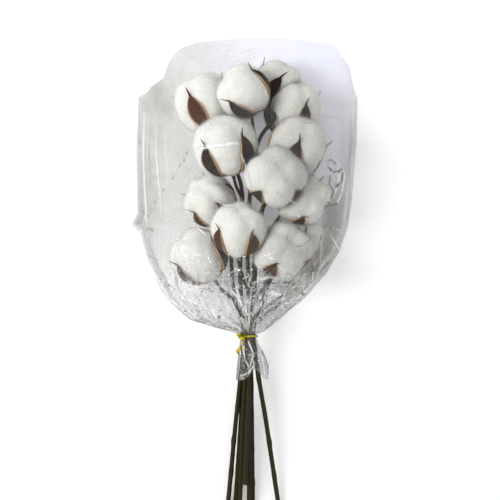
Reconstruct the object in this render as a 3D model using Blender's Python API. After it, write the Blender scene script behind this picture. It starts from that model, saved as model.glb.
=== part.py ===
"""A bunch of cotton bolls on cut stems, in a clear film sleeve gathered by a twist tie, lying on its back.

Metres, +Z up. +Y runs from the cut ends of the stems to the top of the bunch and +X across it.
The origin is on the surface that the bunch lies on, under the middle of the sleeve.
"""

import math
import random
from dataclasses import dataclass

import bmesh
import bpy
from mathutils import Vector

GAP = 0.0004  # air left between pieces that touch
NEIGHBOUR = 1.6  # bolls press on each other when nearer than this many times their two radii
LEVEL_WITH_WALL = 0.05  # a way that turns less than this to a wall never meets it
INSIDE_Z = 0.0012  # height of the sleeve's floor, with air above it
LINE_STEPS = 3  # points of a smooth curve from each given point to the next
SEED = 11

# The cotton of a boll. Each lock is an egg, given as shares of the boll's radius.
LOCK_OUT = 0.34  # from the boll's middle to the lock's
LOCK_RISE = 0.05
LOCK_DEEP = 0.64
LOCK_TALL = 0.88
LOCK_WIDE = {3: 0.74, 4: 0.62, 5: 0.52}  # by the number of locks
LOCK_MELT = 14  # how sharply one lock meets the next
LOCK_SPREAD = 0.05  # how far locks differ in size

# Rows of the grid that cotton and bur share, in degrees from the open top of the boll, and at
# each row half of the width that a valve of the bur takes, in degrees of turn.
ROWS = (24, 46, 66, 82, 98, 116, 134, 152)
VALVE_HALF = (8, 8, 4, 12, 17, 18, 16, 16)
TIP_ROW = 2
LOCK_STEPS = 3  # columns from one valve to the next
PER_LOCK = 2 + LOCK_STEPS
WIDER_VALVE = {3: 1.1, 4: 1.05, 5: 0.95}

# The bur: its valves and the point of each, and the short stalk under them
VALVE_EDGE = 0.0009
VALVE_MIDDLE = 0.0016
VALVE_BULGE = 0.97  # how far its middle stands out, as a share of its edges
POINT_HALFWAY = (5, 0.0022, 0.5)  # degrees towards the top, height, share of the root's width
POINT_END = (12, 0.0085)
STALK_RADIUS = 0.0019
STALK_LENGTH = 0.0065
STALK_GAP = 0.0008  # from the stalk to the stem it stands on
POINT_ROOM = 0.0032  # that pressed cotton leaves for a valve's point

# Stems
FOOT_RADIUS = 0.0023
TOP_RADIUS = 0.0017
TWIG_RADIUS = 0.0015
STEM_SIDES = 6
APPROACH = 0.009  # straight run into a boll's stalk
TIE_Y = -0.130
TIE_MIDDLE = Vector((0.0024, TIE_Y, 0.033))
TIE_PITCH = 0.0046  # between stems where they are tied

# The sleeve
FILM = 0.0007  # wall
FILM_SIDES = 36
SEAM_Y = 0.101  # height of the mouth at the side seams
FRONT_DIP = 0.029  # how far the mouth dips at the middle of the front
FLAT_REACH = 1.25  # makes the underside flat over most of its width
ROUND_ACROSS = 0.85  # below 1, a cross-section is fuller than an ellipse
ROUND_UP = 0.9
LOOSE_FROM = 0.25  # share of the way to the mouth from which the film is quite loose
CRUMPLE = 0.0011
PLEAT = 0.0026
PLEAT_FROM, PLEAT_TO = 0.03, 0.3  # shares of the way to the mouth where pleats are deepest, and gone

# The twist tie
TIE_WIDTH = 0.0032
TIE_THICK = 0.0009
TIE_RADIUS = 0.0093
TIE_SIDES = 20
TIE_TWIST = 0.5  # turn of each end from one point of its route to the next
TIE_KNOT = Vector((-0.0052, 0.0004, 0.0081))  # from the middle of the tie
# The route of each end from the knot
TIE_ENDS = {
    "long_end": ((-0.0035, -0.006, 0.0022), (-0.0055, -0.012, 0.0012), (-0.0085, -0.018, 0.0002)),
    "short_end": ((-0.003, 0.0010, 0.0022), (-0.0062, 0.0016, 0.0014)),
}


@dataclass(frozen=True)
class Boll:
    """One cotton boll: its middle, radius, the way its open top faces, and the way its first valve faces."""

    name: str
    centre: tuple
    radius: float
    axis: tuple
    valve_faces: tuple
    locks: int


@dataclass(frozen=True)
class Stem:
    """A cut stem from its foot through the tie to its top boll, with a twig to a second boll."""

    name: str
    foot: tuple
    slot: tuple  # place in the tie, in pitches across and up
    way: tuple  # points between the tie and the top boll
    top: str
    fork: int = 0  # the point of way that the twig leaves from
    twig_way: tuple = ()
    twig: str = ""


BOLLS = (
    Boll("top_left", (-0.0385, 0.0915, 0.037), 0.0285, (-0.38, 0.90, -0.05), (-0.45, 0.0, 0.90), 4),
    Boll("top", (-0.0010, 0.1010, 0.068), 0.0250, (-0.72, 0.58, 0.25), (-0.33, -0.69, 0.65), 3),
    Boll("top_right", (0.0445, 0.0855, 0.036), 0.0282, (0.15, 0.93, 0.20), (0.45, 0.0, 0.88), 4),
    Boll("upper_left", (-0.0195, 0.0495, 0.070), 0.0297, (-0.25, 0.90, 0.32), (0.62, 0.20, 0.72), 4),
    Boll("upper_right", (0.0475, 0.0500, 0.062), 0.0285, (0.40, 0.85, 0.25), (0.15, 0.20, 0.95), 4),
    Boll("middle", (0.0285, 0.0215, 0.083), 0.0295, (0.13, 0.30, 0.94), (-0.60, -0.60, 0.33), 4),
    Boll("right", (0.0525, 0.0010, 0.055), 0.0260, (0.40, 0.30, 0.87), (0.91, -0.41, 0.0), 5),
    Boll("left", (-0.0325, -0.0025, 0.045), 0.0252, (-0.45, 0.60, 0.60), (0.85, 0.50, 0.10), 5),
    Boll("lower", (-0.0065, -0.0295, 0.079), 0.0262, (0.0, 0.80, 0.60), (0.57, -0.50, 0.65), 4),
    Boll("bottom_left", (-0.0445, -0.0560, 0.040), 0.0275, (-0.56, 0.77, 0.30), (0.79, 0.39, 0.48), 3),
    Boll("bottom_right", (0.0345, -0.0500, 0.064), 0.0268, (0.38, 0.45, 0.80), (0.80, -0.50, 0.0), 4),
    Boll("back_top", (0.0270, 0.1085, 0.029), 0.0250, (0.58, 0.80, 0.0), (0.0, 0.0, 1.0), 4),
    Boll("back_low", (0.0500, -0.0330, 0.029), 0.0232, (0.30, 0.90, 0.20), (0.20, -0.20, 0.95), 4),
)

STEMS = (
    Stem("stem_left", (-0.0186, -0.305, 0.0024), (-1.0, 0.0),
         ((-0.010, -0.098, 0.029), (-0.014, -0.060, 0.020)), "left",
         0, (), "bottom_left"),
    Stem("stem_upper_left", (-0.0062, -0.296, 0.0072), (-0.5, 0.866),
         ((-0.0045, -0.098, 0.0410), (-0.0055, -0.050, 0.0435), (-0.0035, 0.002, 0.048),
          (-0.008, 0.025, 0.038), (-0.017, 0.042, 0.031)), "top_left",
         2, (), "upper_left"),
    Stem("stem_centre", (0.0032, -0.301, 0.0072), (0.0, 0.0),
         ((0.0035, -0.095, 0.043), (0.0015, -0.050, 0.0455), (0.0035, 0.000, 0.0445),
          (0.007, 0.038, 0.045), (0.014, 0.060, 0.053)), "top",
         3, ((0.009, 0.056, 0.033),), "back_top"),
    Stem("stem_upper_right", (0.0066, -0.309, 0.0024), (0.5, -0.866),
         ((0.0075, -0.095, 0.0325), (0.010, -0.050, 0.0350), (0.016, -0.008, 0.033),
          (0.026, 0.024, 0.028), (0.034, 0.040, 0.026)), "top_right",
         2, ((0.0215, 0.009, 0.037),), "upper_right"),
    Stem("stem_front", (-0.0013, -0.2726, 0.0190), (0.5, 0.866),
         ((0.0055, -0.100, 0.050), (0.008, -0.060, 0.052), (0.011, -0.025, 0.0455)), "middle",
         0, ((-0.001, -0.080, 0.054),), "lower"),
    Stem("stem_right", (0.0335, -0.308, 0.0024), (1.0, 0.0),
         ((0.016, -0.100, 0.034), (0.025, -0.060, 0.024), (0.027, -0.026, 0.017)), "right",
         0, (), "bottom_right"),
    Stem("stem_low", (-0.0106, -0.300, 0.0024), (-0.5, -0.866),
         ((0.0055, -0.102, 0.0235), (0.022, -0.078, 0.0195)), "back_low"),
)

# Edges of the sleeve seen from above, as (y, x on the left, x on the right)
OUTLINE = (
    (-0.172, -0.0096, 0.021), (-0.158, -0.0085, 0.018), (-0.146, -0.0072, 0.0135),
    (-0.136, -0.0060, 0.0108), (-0.1318, -0.0056, 0.0104), (-0.128, -0.0056, 0.0104),
    (-0.1245, -0.0165, 0.0190), (-0.1195, -0.037, 0.0245), (-0.114, -0.054, 0.031),
    (-0.100, -0.070, 0.047), (-0.085, -0.082, 0.063), (-0.071, -0.088, 0.076),
    (-0.049, -0.096, 0.089), (-0.023, -0.103, 0.098), (-0.002, -0.104, 0.101),
    (0.056, -0.105, 0.106), (0.101, -0.103, 0.107),
)
# Height of the front, of the side seams and of the underside, at each y
HEIGHTS = (
    (-0.172, 0.036, 0.026, 0.016), (-0.158, 0.0375, 0.028, 0.0185), (-0.146, 0.039, 0.030, 0.021),
    (-0.136, 0.0408, 0.0322, 0.0240), (-0.1318, 0.0410, 0.033, 0.0250), (-0.128, 0.0411, 0.033, 0.0249),
    (-0.1245, 0.0490, 0.0328, 0.0195), (-0.1195, 0.059, 0.0325, 0.0138), (-0.114, 0.068, 0.032, 0.0100),
    (-0.100, 0.083, 0.030, 0.0040), (-0.085, 0.095, 0.028, 0.0008), (-0.071, 0.104, 0.027, 0.0),
    (-0.049, 0.112, 0.026, 0.0), (-0.023, 0.116, 0.025, 0.0), (-0.002, 0.1185, 0.024, 0.0),
    (0.056, 0.114, 0.020, 0.0), (0.101, 0.104, 0.013, 0.0),
)
# The mouth's edge at the back, as (share of the way from the middle to a seam, x, y)
BACK_EDGE = (
    (-1.0, -0.103, 0.101), (-0.85, -0.082, 0.112), (-0.7, -0.068, 0.134), (-0.5, -0.046, 0.144),
    (0.0, 0.002, 0.153), (0.5, 0.052, 0.151), (0.8, 0.084, 0.146), (0.93, 0.0985, 0.126),
    (1.0, 0.107, 0.101),
)
SKIRT_RINGS = (-0.172, -0.158, -0.146, -0.136, -0.1318)
NECK_END = -0.128
# Rings from the neck's end to the mouth, as shares of the way
BODY_RINGS = (0.0, 0.014, 0.035, 0.062, 0.12, 0.185, 0.26, 0.36, 0.48, 0.61, 0.75, 0.88, 1.0)

COLOURS = {
    "cotton": ((0.86, 0.86, 0.83, 1), 0.9, 0.0),
    "bur": ((0.10, 0.045, 0.022, 1), 0.7, 0.0),
    "stem": ((0.035, 0.028, 0.010, 1), 0.75, 0.0),
    "film": ((0.85, 0.86, 0.90, 0.3), 0.1, 0.0),
    "tie": ((0.83, 0.70, 0.06, 1), 0.3, 0.0),
}


def clear_scene():
    """Removes whatever the scene holds."""
    for old in list(bpy.data.objects):
        bpy.data.objects.remove(old)


def material(kind):
    """The material of one kind of piece, made once."""
    found = bpy.data.materials.get(kind)
    if found:
        return found
    colour, roughness, metallic = COLOURS[kind]
    found = bpy.data.materials.new(kind)
    found.use_nodes = True
    shader = found.node_tree.nodes["Principled BSDF"]
    shader.inputs["Base Color"].default_value = colour
    shader.inputs["Roughness"].default_value = roughness
    shader.inputs["Metallic"].default_value = metallic
    return found


def add_mesh(name, points, faces, kind):
    """An object of these points and faces, with its faces turned outwards."""
    mesh = bpy.data.meshes.new(name)
    mesh.from_pydata([tuple(p) for p in points], [], faces)
    shape = bmesh.new()
    shape.from_mesh(mesh)
    bmesh.ops.recalc_face_normals(shape, faces=shape.faces)
    bmesh.ops.triangulate(shape, faces=[f for f in shape.faces if len(f.verts) > 4])
    shape.to_mesh(mesh)
    shape.free()
    mesh.shade_smooth()
    mesh.materials.append(material(kind))
    made = bpy.data.objects.new(name, mesh)
    bpy.context.scene.collection.objects.link(made)
    return made


def between(table, at):
    """The row of numbers that a table of (key, numbers...) gives at a key, on straight lines."""
    at = min(max(at, table[0][0]), table[-1][0])
    for low, high in zip(table, table[1:]):
        if at <= high[0]:
            share = (at - low[0]) / (high[0] - low[0])
            return [a + share * (b - a) for a, b in zip(low[1:], high[1:])]
    return list(table[-1][1:])


def smooth_line(points):
    """Points on a smooth curve through the given ones."""
    points = [Vector(p) for p in points]
    ends = [2 * points[0] - points[1], *points, 2 * points[-1] - points[-2]]
    line = []
    for p0, p1, p2, p3 in zip(ends, ends[1:], ends[2:], ends[3:]):
        for i in range(LINE_STEPS):
            t = i / LINE_STEPS
            line.append(0.5 * (2 * p1 + (p2 - p0) * t + (2 * p0 - 5 * p1 + 4 * p2 - p3) * t * t
                               + (3 * p1 - p0 - 3 * p2 + p3) * t ** 3))
    return [*line, points[-1]]


def rings_to_mesh(name, rings, kind):
    """A closed solid through rings of equally many points, with flat ends."""
    sides = len(rings[0])
    points = [p for ring in rings for p in ring]
    faces = []
    for r in range(len(rings) - 1):
        for s in range(sides):
            nxt = (s + 1) % sides
            faces.append((r * sides + s, r * sides + nxt, (r + 1) * sides + nxt, (r + 1) * sides + s))
    last = (len(rings) - 1) * sides
    faces.append(tuple(range(sides)))
    faces.append(tuple(range(last, last + sides)))
    return add_mesh(name, points, faces, kind)


def rod(name, line, radii):
    """A round piece of stem along a line, with one radius for each of its points."""
    side = Vector((0, 0, 1))
    rings = []
    for i, point in enumerate(line):
        along = (line[min(i + 1, len(line) - 1)] - line[max(i - 1, 0)]).normalized()
        side = (side - side.dot(along) * along).normalized()
        other = along.cross(side)
        rings.append([
            point + radii[i] * (math.cos(a) * side + math.sin(a) * other)
            for a in (2 * math.pi * s / STEM_SIDES for s in range(STEM_SIDES))
        ])
    return rings_to_mesh(name, rings, "stem")


def join(target, others):
    """Makes the target and the others one body, and removes the others."""
    tools = bpy.data.collections.new("tools")
    for other in others:
        tools.objects.link(other)
    modifier = target.modifiers.new("union", "BOOLEAN")
    modifier.operation = "UNION"
    modifier.operand_type = "COLLECTION"
    modifier.collection = tools
    modifier.solver = "MANIFOLD"
    bpy.context.view_layer.update()
    graph = bpy.context.evaluated_depsgraph_get()
    result = bpy.data.meshes.new_from_object(target.evaluated_get(graph))
    target.modifiers.clear()
    target.data = result
    for other in others:
        bpy.data.objects.remove(other)
    bpy.data.collections.remove(tools)


def axes_of(boll):
    """The boll's own axes: the way its first valve faces, the way across, and the way it opens."""
    up = Vector(boll.axis).normalized()
    facing = Vector(boll.valve_faces)
    facing = (facing - facing.dot(up) * up).normalized()
    return facing, up.cross(facing), up


def lock_sizes(boll):
    """A slightly different size for each lock, the same on each run."""
    draw = random.Random(f"{SEED} {boll.name}")
    return [1 + draw.uniform(-LOCK_SPREAD, LOCK_SPREAD) for _ in range(boll.locks)]


def lock_reach(polar, turn, wide):
    """How far a lock that faces turn 0 reaches along one way from the boll's middle, for radius 1."""
    way = (math.sin(polar) * math.cos(turn) / LOCK_DEEP,
           math.sin(polar) * math.sin(turn) / wide,
           math.cos(polar) / LOCK_TALL)
    middle = (LOCK_OUT / LOCK_DEEP, 0.0, LOCK_RISE / LOCK_TALL)
    dot = sum(w * m for w, m in zip(way, middle))
    size = sum(w * w for w in way)
    inside = sum(m * m for m in middle) - 1
    return (dot + math.sqrt(dot * dot - size * inside)) / size


def cotton_reach(boll, sizes, polar, turn):
    """How far the cotton stands out along one way, before its neighbours press it."""
    period = 2 * math.pi / boll.locks
    wide = LOCK_WIDE[boll.locks]
    reaches = (size * lock_reach(polar, turn - (i + 0.5) * period, wide) for i, size in enumerate(sizes))
    return boll.radius * sum(reach ** LOCK_MELT for reach in reaches) ** (1 / LOCK_MELT)


def walls_round(boll):
    """The planes the boll stays behind, as (unit normal, distance): one to each neighbour and the floor."""
    centre = Vector(boll.centre)
    walls = [(Vector((0, 0, -1)), centre.z - INSIDE_Z)]
    for other in BOLLS:
        apart = Vector(other.centre) - centre
        if other is boll or apart.length > NEIGHBOUR * (boll.radius + other.radius):
            continue
        middle = (apart.length_squared + boll.radius ** 2 - other.radius ** 2) / (2 * apart.length)
        walls.append((apart.normalized(), middle - GAP))
    return walls


def room(walls, way):
    """How far a way from the middle may go before it meets a wall."""
    met = [distance / way.dot(normal) for normal, distance in walls if way.dot(normal) > LEVEL_WITH_WALL]
    return min(met, default=math.inf)


def way_at(axes, polar, turn):
    """The way from a boll's middle that its own axes give for an angle from the top and a turn."""
    level = math.cos(turn) * axes[0] + math.sin(turn) * axes[1]
    return math.sin(polar) * level + math.cos(polar) * axes[2]


def turns_of(row, locks):
    """The turns of one row's columns: each valve's edge, middle and edge, then the cotton up to the next."""
    period = 360 / locks
    half = VALVE_HALF[row] * WIDER_VALVE[locks]
    step = (period - 2 * half) / LOCK_STEPS
    turns = []
    for valve in range(locks):
        middle = valve * period
        turns += [middle - half, middle, middle + half]
        turns += [middle + half + step * i for i in range(1, LOCK_STEPS)]
    return [math.radians(t) for t in turns]


def boll_grid(boll):
    """Points of the cotton and of the bur's inner and outer face, on one grid, and the cotton's top point."""
    sizes = lock_sizes(boll)
    axes = axes_of(boll)
    walls = walls_round(boll)
    centre = Vector(boll.centre)
    cotton, inner, outer = [], [], []
    for row, degrees in enumerate(ROWS):
        polar = math.radians(degrees)
        turns = turns_of(row, boll.locks)
        ways = [way_at(axes, polar, t) for t in turns]
        bare = [cotton_reach(boll, sizes, polar, t) for t in turns]
        for grid in (cotton, inner, outer):
            grid.append([])
        for column, way in enumerate(ways):
            kind = column % PER_LOCK
            free = room(walls, way)
            thick = VALVE_EDGE
            shell = bare[column] + thick + GAP
            if kind == 1:
                thick = VALVE_MIDDLE
                edges = (bare[column - 1] + bare[column + 1]) / 2 + VALVE_EDGE
                shell = max(bare[column] + thick, VALVE_BULGE * edges) + GAP
            shell = min(shell, free)
            fluff = min(bare[column], free)
            if row == len(ROWS) - 1 or row >= TIP_ROW and kind <= 2:
                fluff = min(fluff, shell - thick - GAP)
            elif row == TIP_ROW - 1 and kind <= 2:
                fluff = min(fluff, free - POINT_ROOM)
            for grid, reach in zip((cotton, inner, outer), (fluff, shell - thick, shell)):
                grid[-1].append(centre + reach * way)
    top = centre + min(cotton_reach(boll, sizes, 0, 0), room(walls, axes[2])) * axes[2]
    return cotton, inner, outer, top


def mean(points):
    """The middle of some points."""
    return sum(points, Vector()) / len(points)


def cotton_mesh(boll, cotton, top):
    """The cotton of a boll as one closed solid."""
    count = len(cotton[0])
    points = [p for line in cotton for p in line]
    faces = []
    for row in range(len(ROWS) - 1):
        for column in range(count):
            nxt = (column + 1) % count
            a, b = row * count + column, row * count + nxt
            faces.append((a, a + count, b + count))
            faces.append((a, b + count, b))
    points += [top, mean(cotton[-1])]
    last = (len(ROWS) - 1) * count
    for column in range(count):
        nxt = (column + 1) % count
        faces.append((column, nxt, len(points) - 2))
        faces.append((last + nxt, last + column, len(points) - 1))
    return add_mesh(f"cotton_{boll.name}", points, faces, "cotton")


def bur_mesh(boll, inner, outer):
    """The bur: pointed valves that stand round the cotton, on a cup and a short stalk."""
    count = len(inner[0])
    last = len(ROWS) - 1
    points, faces, index = [], [], {}

    def number(key, point):
        """The point's number in the mesh, added when first met."""
        if key not in index:
            index[key] = len(points)
            points.append(point)
        return index[key]

    def shell(face, row, column):
        """A point of the inner (0) or outer (1) face."""
        column %= count
        return number((face, row, column), (inner, outer)[face][row][column])

    for valve in range(boll.locks):
        left = valve * PER_LOCK
        for row in range(TIP_ROW, last):
            for column in (left, left + 1):
                for face in (0, 1):
                    a, b = shell(face, row, column), shell(face, row, column + 1)
                    c, d = shell(face, row + 1, column + 1), shell(face, row + 1, column)
                    faces += [(a, d, c), (a, c, b)]
            for column in (left, left + 2):
                faces.append((shell(0, row, column), shell(0, row + 1, column),
                              shell(1, row + 1, column), shell(1, row, column)))
        root = [shell(0, TIP_ROW, left + i) for i in (0, 1, 2)]
        root += [shell(1, TIP_ROW, left + i) for i in (2, 1, 0)]
        add_point(points, faces, root, boll, 2 * math.pi * valve / boll.locks)
        for column in range(left + 2, left + PER_LOCK):
            faces.append((shell(0, last, column), shell(0, last, column + 1),
                          shell(1, last, column + 1), shell(1, last, column)))
    up = axes_of(boll)[2]
    under = mean(outer[-1])
    foot = under - STALK_LENGTH * up
    floor = number("floor", mean(inner[-1]))
    cap = number("cap", foot)
    for column in range(count):
        rim = outer[-1][column] - under
        rim = (rim - rim.dot(up) * up).normalized() * STALK_RADIUS
        number(("stalk", column), foot + rim)
    for column in range(count):
        nxt = (column + 1) % count
        faces.append((shell(0, last, column), shell(0, last, nxt), floor))
        low, low_next = index[("stalk", column)], index[("stalk", nxt)]
        faces.append((shell(1, last, column), shell(1, last, nxt), low_next, low))
        faces.append((low, low_next, cap))
    return add_mesh(f"bur_{boll.name}", points, faces, "bur")


def add_point(points, faces, root, boll, turn):
    """The sharp point that ends a valve: from the loop of its root through a smaller loop to one point."""
    centre, axes, walls = Vector(boll.centre), axes_of(boll), walls_round(boll)
    root_middle = mean([points[i] for i in root])
    reach = (points[root[4]] - centre).length
    towards, height, share = POINT_HALFWAY
    way = way_at(axes, math.radians(ROWS[TIP_ROW] - towards), turn)
    halfway = centre + min(reach + height, room(walls, way) - height / 2) * way
    ring = []
    for i in root:
        points.append(halfway + share * (points[i] - root_middle))
        ring.append(len(points) - 1)
    towards, height = POINT_END
    way = way_at(axes, math.radians(ROWS[TIP_ROW] - towards), turn)
    points.append(centre + min(reach + height, room(walls, way)) * way)
    end = len(points) - 1
    for i in range(len(root)):
        nxt = (i + 1) % len(root)
        faces.append((root[i], root[nxt], ring[nxt], ring[i]))
        faces.append((ring[i], ring[nxt], end))


def stalk_end(boll, seats):
    """Where the boll's short stalk ends, and the way it points."""
    up = axes_of(boll)[2]
    return seats[boll.name] - (STALK_LENGTH + STALK_GAP) * up, up


def build_bolls():
    """Makes the cotton and bur of each boll. Returns, for each boll, where the bur sits on its stalk."""
    seats = {}
    for boll in BOLLS:
        cotton, inner, outer, top = boll_grid(boll)
        cotton_mesh(boll, cotton, top)
        bur_mesh(boll, inner, outer)
        seats[boll.name] = mean(outer[-1])
    return seats


def stem_lines(stem, seats):
    """The lines of a stem and of its twig, each with its radii."""
    bolls = {b.name: b for b in BOLLS}
    tie = TIE_MIDDLE + TIE_PITCH * Vector((stem.slot[0], 0, stem.slot[1]))
    foot = Vector(stem.foot)
    end, up = stalk_end(bolls[stem.top], seats)
    points = [foot, foot.lerp(tie, 0.5), tie, *stem.way, end - APPROACH * up, end]
    line = smooth_line(points)
    radii = [FOOT_RADIUS + (TOP_RADIUS - FOOT_RADIUS) * i / (len(line) - 1) for i in range(len(line))]
    lines = [(line, radii)]
    if stem.twig:
        end, up = stalk_end(bolls[stem.twig], seats)
        route = smooth_line([stem.way[stem.fork], *stem.twig_way, end - APPROACH * up, end])
        lines.append((route, [TWIG_RADIUS] * len(route)))
    return lines


def build_stems(seats):
    """Makes each stem, joined to its twig."""
    for stem in STEMS:
        rods = [
            rod(f"{stem.name}{i or ''}", line, radii)
            for i, (line, radii) in enumerate(stem_lines(stem, seats))
        ]
        if rods[1:]:
            join(rods[0], rods[1:])


def share_across(around):
    """How far across the sleeve a turn lies, from -1 at the left seam to 1 at the right one."""
    return math.copysign(abs(math.cos(around)) ** ROUND_ACROSS, math.cos(around))


def sleeve_point(y, around, draw, loose):
    """A point of the sleeve's outer face: around is 0 at the right seam and a quarter turn at the front.

    The film is round and taut at the neck, where loose is 0, and flat underneath and crumpled where it is 1.
    """
    left, right = between(OUTLINE, y)
    front, seam, under = between(HEIGHTS, y)
    x = (left + right) / 2 + share_across(around) * (right - left) / 2
    if around <= math.pi:
        z = seam + (front - seam) * math.sin(around) ** ROUND_UP
        z += draw.uniform(-CRUMPLE, CRUMPLE) * loose * math.sin(around)
    else:
        flat = 1 + (FLAT_REACH - 1) * loose
        z = seam - (seam - under) * min(1.0, flat * abs(math.sin(around)) ** ROUND_UP)
    return Vector((x, y, z))


def mouth_edge(around):
    """(x, y) of the sleeve's mouth at this turn. The back stands higher, and the front keeps its own x."""
    across = share_across(around)
    if around <= math.pi:
        return None, SEAM_Y - FRONT_DIP * (1 - across * across)
    return tuple(between(BACK_EDGE, across))


def pleated(point, share, side):
    """Draws every second point towards the axis of the tie, most near the tie."""
    depth = PLEAT * max(0.0, 1 - share / PLEAT_TO) * min(1.0, share / PLEAT_FROM)
    if side % 2 or depth == 0:
        return point
    axis = Vector((TIE_MIDDLE.x, point.y, TIE_MIDDLE.z))
    return point + (axis - point).normalized() * depth


def sleeve_rings():
    """Rings of points on the sleeve's outer face, from the skirt's edge to the mouth."""
    draw = random.Random(SEED)
    turns = [2 * math.pi * s / FILM_SIDES for s in range(FILM_SIDES)]
    rings = [[sleeve_point(y, a, draw, 0.0) for a in turns] for y in SKIRT_RINGS]
    for share in BODY_RINGS:
        ring = []
        for side, around in enumerate(turns):
            edge_x, edge_y = mouth_edge(around)
            y = NECK_END + share * (edge_y - NECK_END)
            point = sleeve_point(y, around, draw, min(1.0, share / LOOSE_FROM))
            if edge_x is not None and y > SEAM_Y:
                beyond = (y - SEAM_Y) / (edge_y - SEAM_Y)
                point.x += beyond * (edge_x - point.x)
                point.z *= 1 - beyond
            ring.append(pleated(point, share, side))
        rings.append(ring)
    return rings


def inward(rings, r, s):
    """The point under ring r, side s, a film's thickness in from the outer face."""
    sides = len(rings[0])
    along = rings[min(r + 1, len(rings) - 1)][s] - rings[max(r - 1, 0)][s]
    around = rings[r][(s + 1) % sides] - rings[r][(s - 1) % sides]
    out = along.cross(around).normalized()
    point = rings[r][s] - FILM * out
    if rings[r][s].z < FILM / 2:
        point.z = rings[r][s].z + FILM
    return point


def build_sleeve():
    """The clear sleeve: one open shell from the skirt under the tie to the mouth."""
    rings = sleeve_rings()
    sides, rows = FILM_SIDES, len(rings)
    points = [p for ring in rings for p in ring]
    points += [inward(rings, r, s) for r in range(rows) for s in range(sides)]
    inside = rows * sides
    faces = []
    for r in range(rows - 1):
        for s in range(sides):
            a, b = r * sides + s, r * sides + (s + 1) % sides
            faces.append((a, b, b + sides, a + sides))
            faces.append((a + inside, a + sides + inside, b + sides + inside, b + inside))
    for r in (0, rows - 1):
        for s in range(sides):
            a, b = r * sides + s, r * sides + (s + 1) % sides
            faces.append((a, b, b + inside, a + inside))
    return add_mesh("sleeve", points, faces, "film")


def strip_section(middle, wide, thin):
    """The four corners of a flat strip's section."""
    return [middle + wide + thin, middle - wide + thin, middle - wide - thin, middle + wide - thin]


def tie_end(name, route):
    """One end of the tie: a strip from the knot along its route, turning over as it goes."""
    line = smooth_line([Vector(), *route])
    sections = []
    for i, point in enumerate(line):
        along = (line[min(i + 1, len(line) - 1)] - line[max(i - 1, 0)]).normalized()
        out = Vector((math.sin(i * TIE_TWIST), 0, math.cos(i * TIE_TWIST)))
        out = (out - out.dot(along) * along).normalized()
        wide = along.cross(out) * TIE_WIDTH / 2
        sections.append(strip_section(TIE_MIDDLE + TIE_KNOT + point, wide, out * TIE_THICK / 2))
    return rings_to_mesh(name, sections, "tie")


def build_tie():
    """The twist tie: a strip once round the neck, and its two twisted ends."""
    points, faces = [], []
    for i in range(TIE_SIDES):
        turn = 2 * math.pi * i / TIE_SIDES
        out = Vector((math.cos(turn), 0, math.sin(turn)))
        wide = Vector((0, TIE_WIDTH / 2, 0))
        points += strip_section(TIE_MIDDLE + TIE_RADIUS * out, wide, out * TIE_THICK / 2)
        following = (i + 1) % TIE_SIDES
        for side in range(4):
            nxt = (side + 1) % 4
            faces.append((4 * i + side, 4 * i + nxt, 4 * following + nxt, 4 * following + side))
    band = add_mesh("twist_tie", points, faces, "tie")
    join(band, [tie_end(name, route) for name, route in TIE_ENDS.items()])


def main():
    """Builds every piece."""
    clear_scene()
    build_stems(build_bolls())
    build_sleeve()
    build_tie()


main()
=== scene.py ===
"""Looks of a bunch of dried cotton bolls: lint, burs, cut stems, a clear film sleeve and its twist tie.

Metres, +Z up. The bunch lies on its back with the cut ends of its stems towards -Y, and the
camera looks straight down on it. The tables of bolls and stems are those of the part's own source.
The film's edge goes a little past the part's at the back and at its left corner.
"""

import functools
import itertools
import logging
import math
import random
from dataclasses import dataclass, replace
from enum import Enum

import bmesh
import bpy
import numpy as np
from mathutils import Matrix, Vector
from mathutils.geometry import delaunay_2d_cdt


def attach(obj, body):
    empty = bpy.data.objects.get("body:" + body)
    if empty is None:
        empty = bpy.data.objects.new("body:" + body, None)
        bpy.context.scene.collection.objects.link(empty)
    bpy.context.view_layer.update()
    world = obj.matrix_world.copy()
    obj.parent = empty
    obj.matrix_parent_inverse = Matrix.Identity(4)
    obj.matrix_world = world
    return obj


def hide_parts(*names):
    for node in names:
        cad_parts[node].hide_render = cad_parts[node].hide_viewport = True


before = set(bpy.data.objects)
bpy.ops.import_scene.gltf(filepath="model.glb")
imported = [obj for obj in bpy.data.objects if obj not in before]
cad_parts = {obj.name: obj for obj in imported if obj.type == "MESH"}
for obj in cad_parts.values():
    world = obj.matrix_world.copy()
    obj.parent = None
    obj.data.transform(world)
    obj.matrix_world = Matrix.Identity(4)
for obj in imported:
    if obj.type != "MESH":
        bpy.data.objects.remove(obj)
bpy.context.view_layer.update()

log = logging.getLogger("cotton_bunch")

Material = bpy.types.Material
Node = bpy.types.Node
NodeTree = bpy.types.NodeTree
Piece = bpy.types.Object
Socket = bpy.types.NodeSocket

SEED = 11
GAP = 0.0004
MM = 0.001


def linear(hex_colour: str) -> tuple[float, float, float, float]:
    """Turns an sRGB hex colour into the linear colour that shaders take.

    Args:
        hex_colour: six hex digits after a #.

    Returns:
        Linear red, green, blue and an alpha of 1.
    """
    parts = [int(hex_colour[i:i + 2], 16) / 255 for i in (1, 3, 5)]
    red, green, blue = (p / 12.92 if p <= 0.04045 else ((p + 0.055) / 1.055) ** 2.4 for p in parts)
    return red, green, blue, 1.0


def feed(node: Node, inputs: dict) -> None:
    """Gives each input, by name or number, its value or the output socket that feeds it."""
    for name, value in inputs.items():
        if isinstance(value, Socket):
            node.id_data.links.new(value, node.inputs[name])
        else:
            node.inputs[name].default_value = value


def add_node(tree: NodeTree, kind: str, inputs: dict | None = None, **settings) -> Node:
    """Adds a node with its settings and links.

    Args:
        tree: the material's node tree.
        kind: Blender's name for the kind of node.
        inputs: for each input, by name or number, a value or the output socket that feeds it.
        settings: the node's own properties.

    Returns:
        The node.
    """
    node = tree.nodes.new(kind)
    for name, value in settings.items():
        setattr(node, name, value)
    feed(node, inputs or {})
    return node


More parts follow.
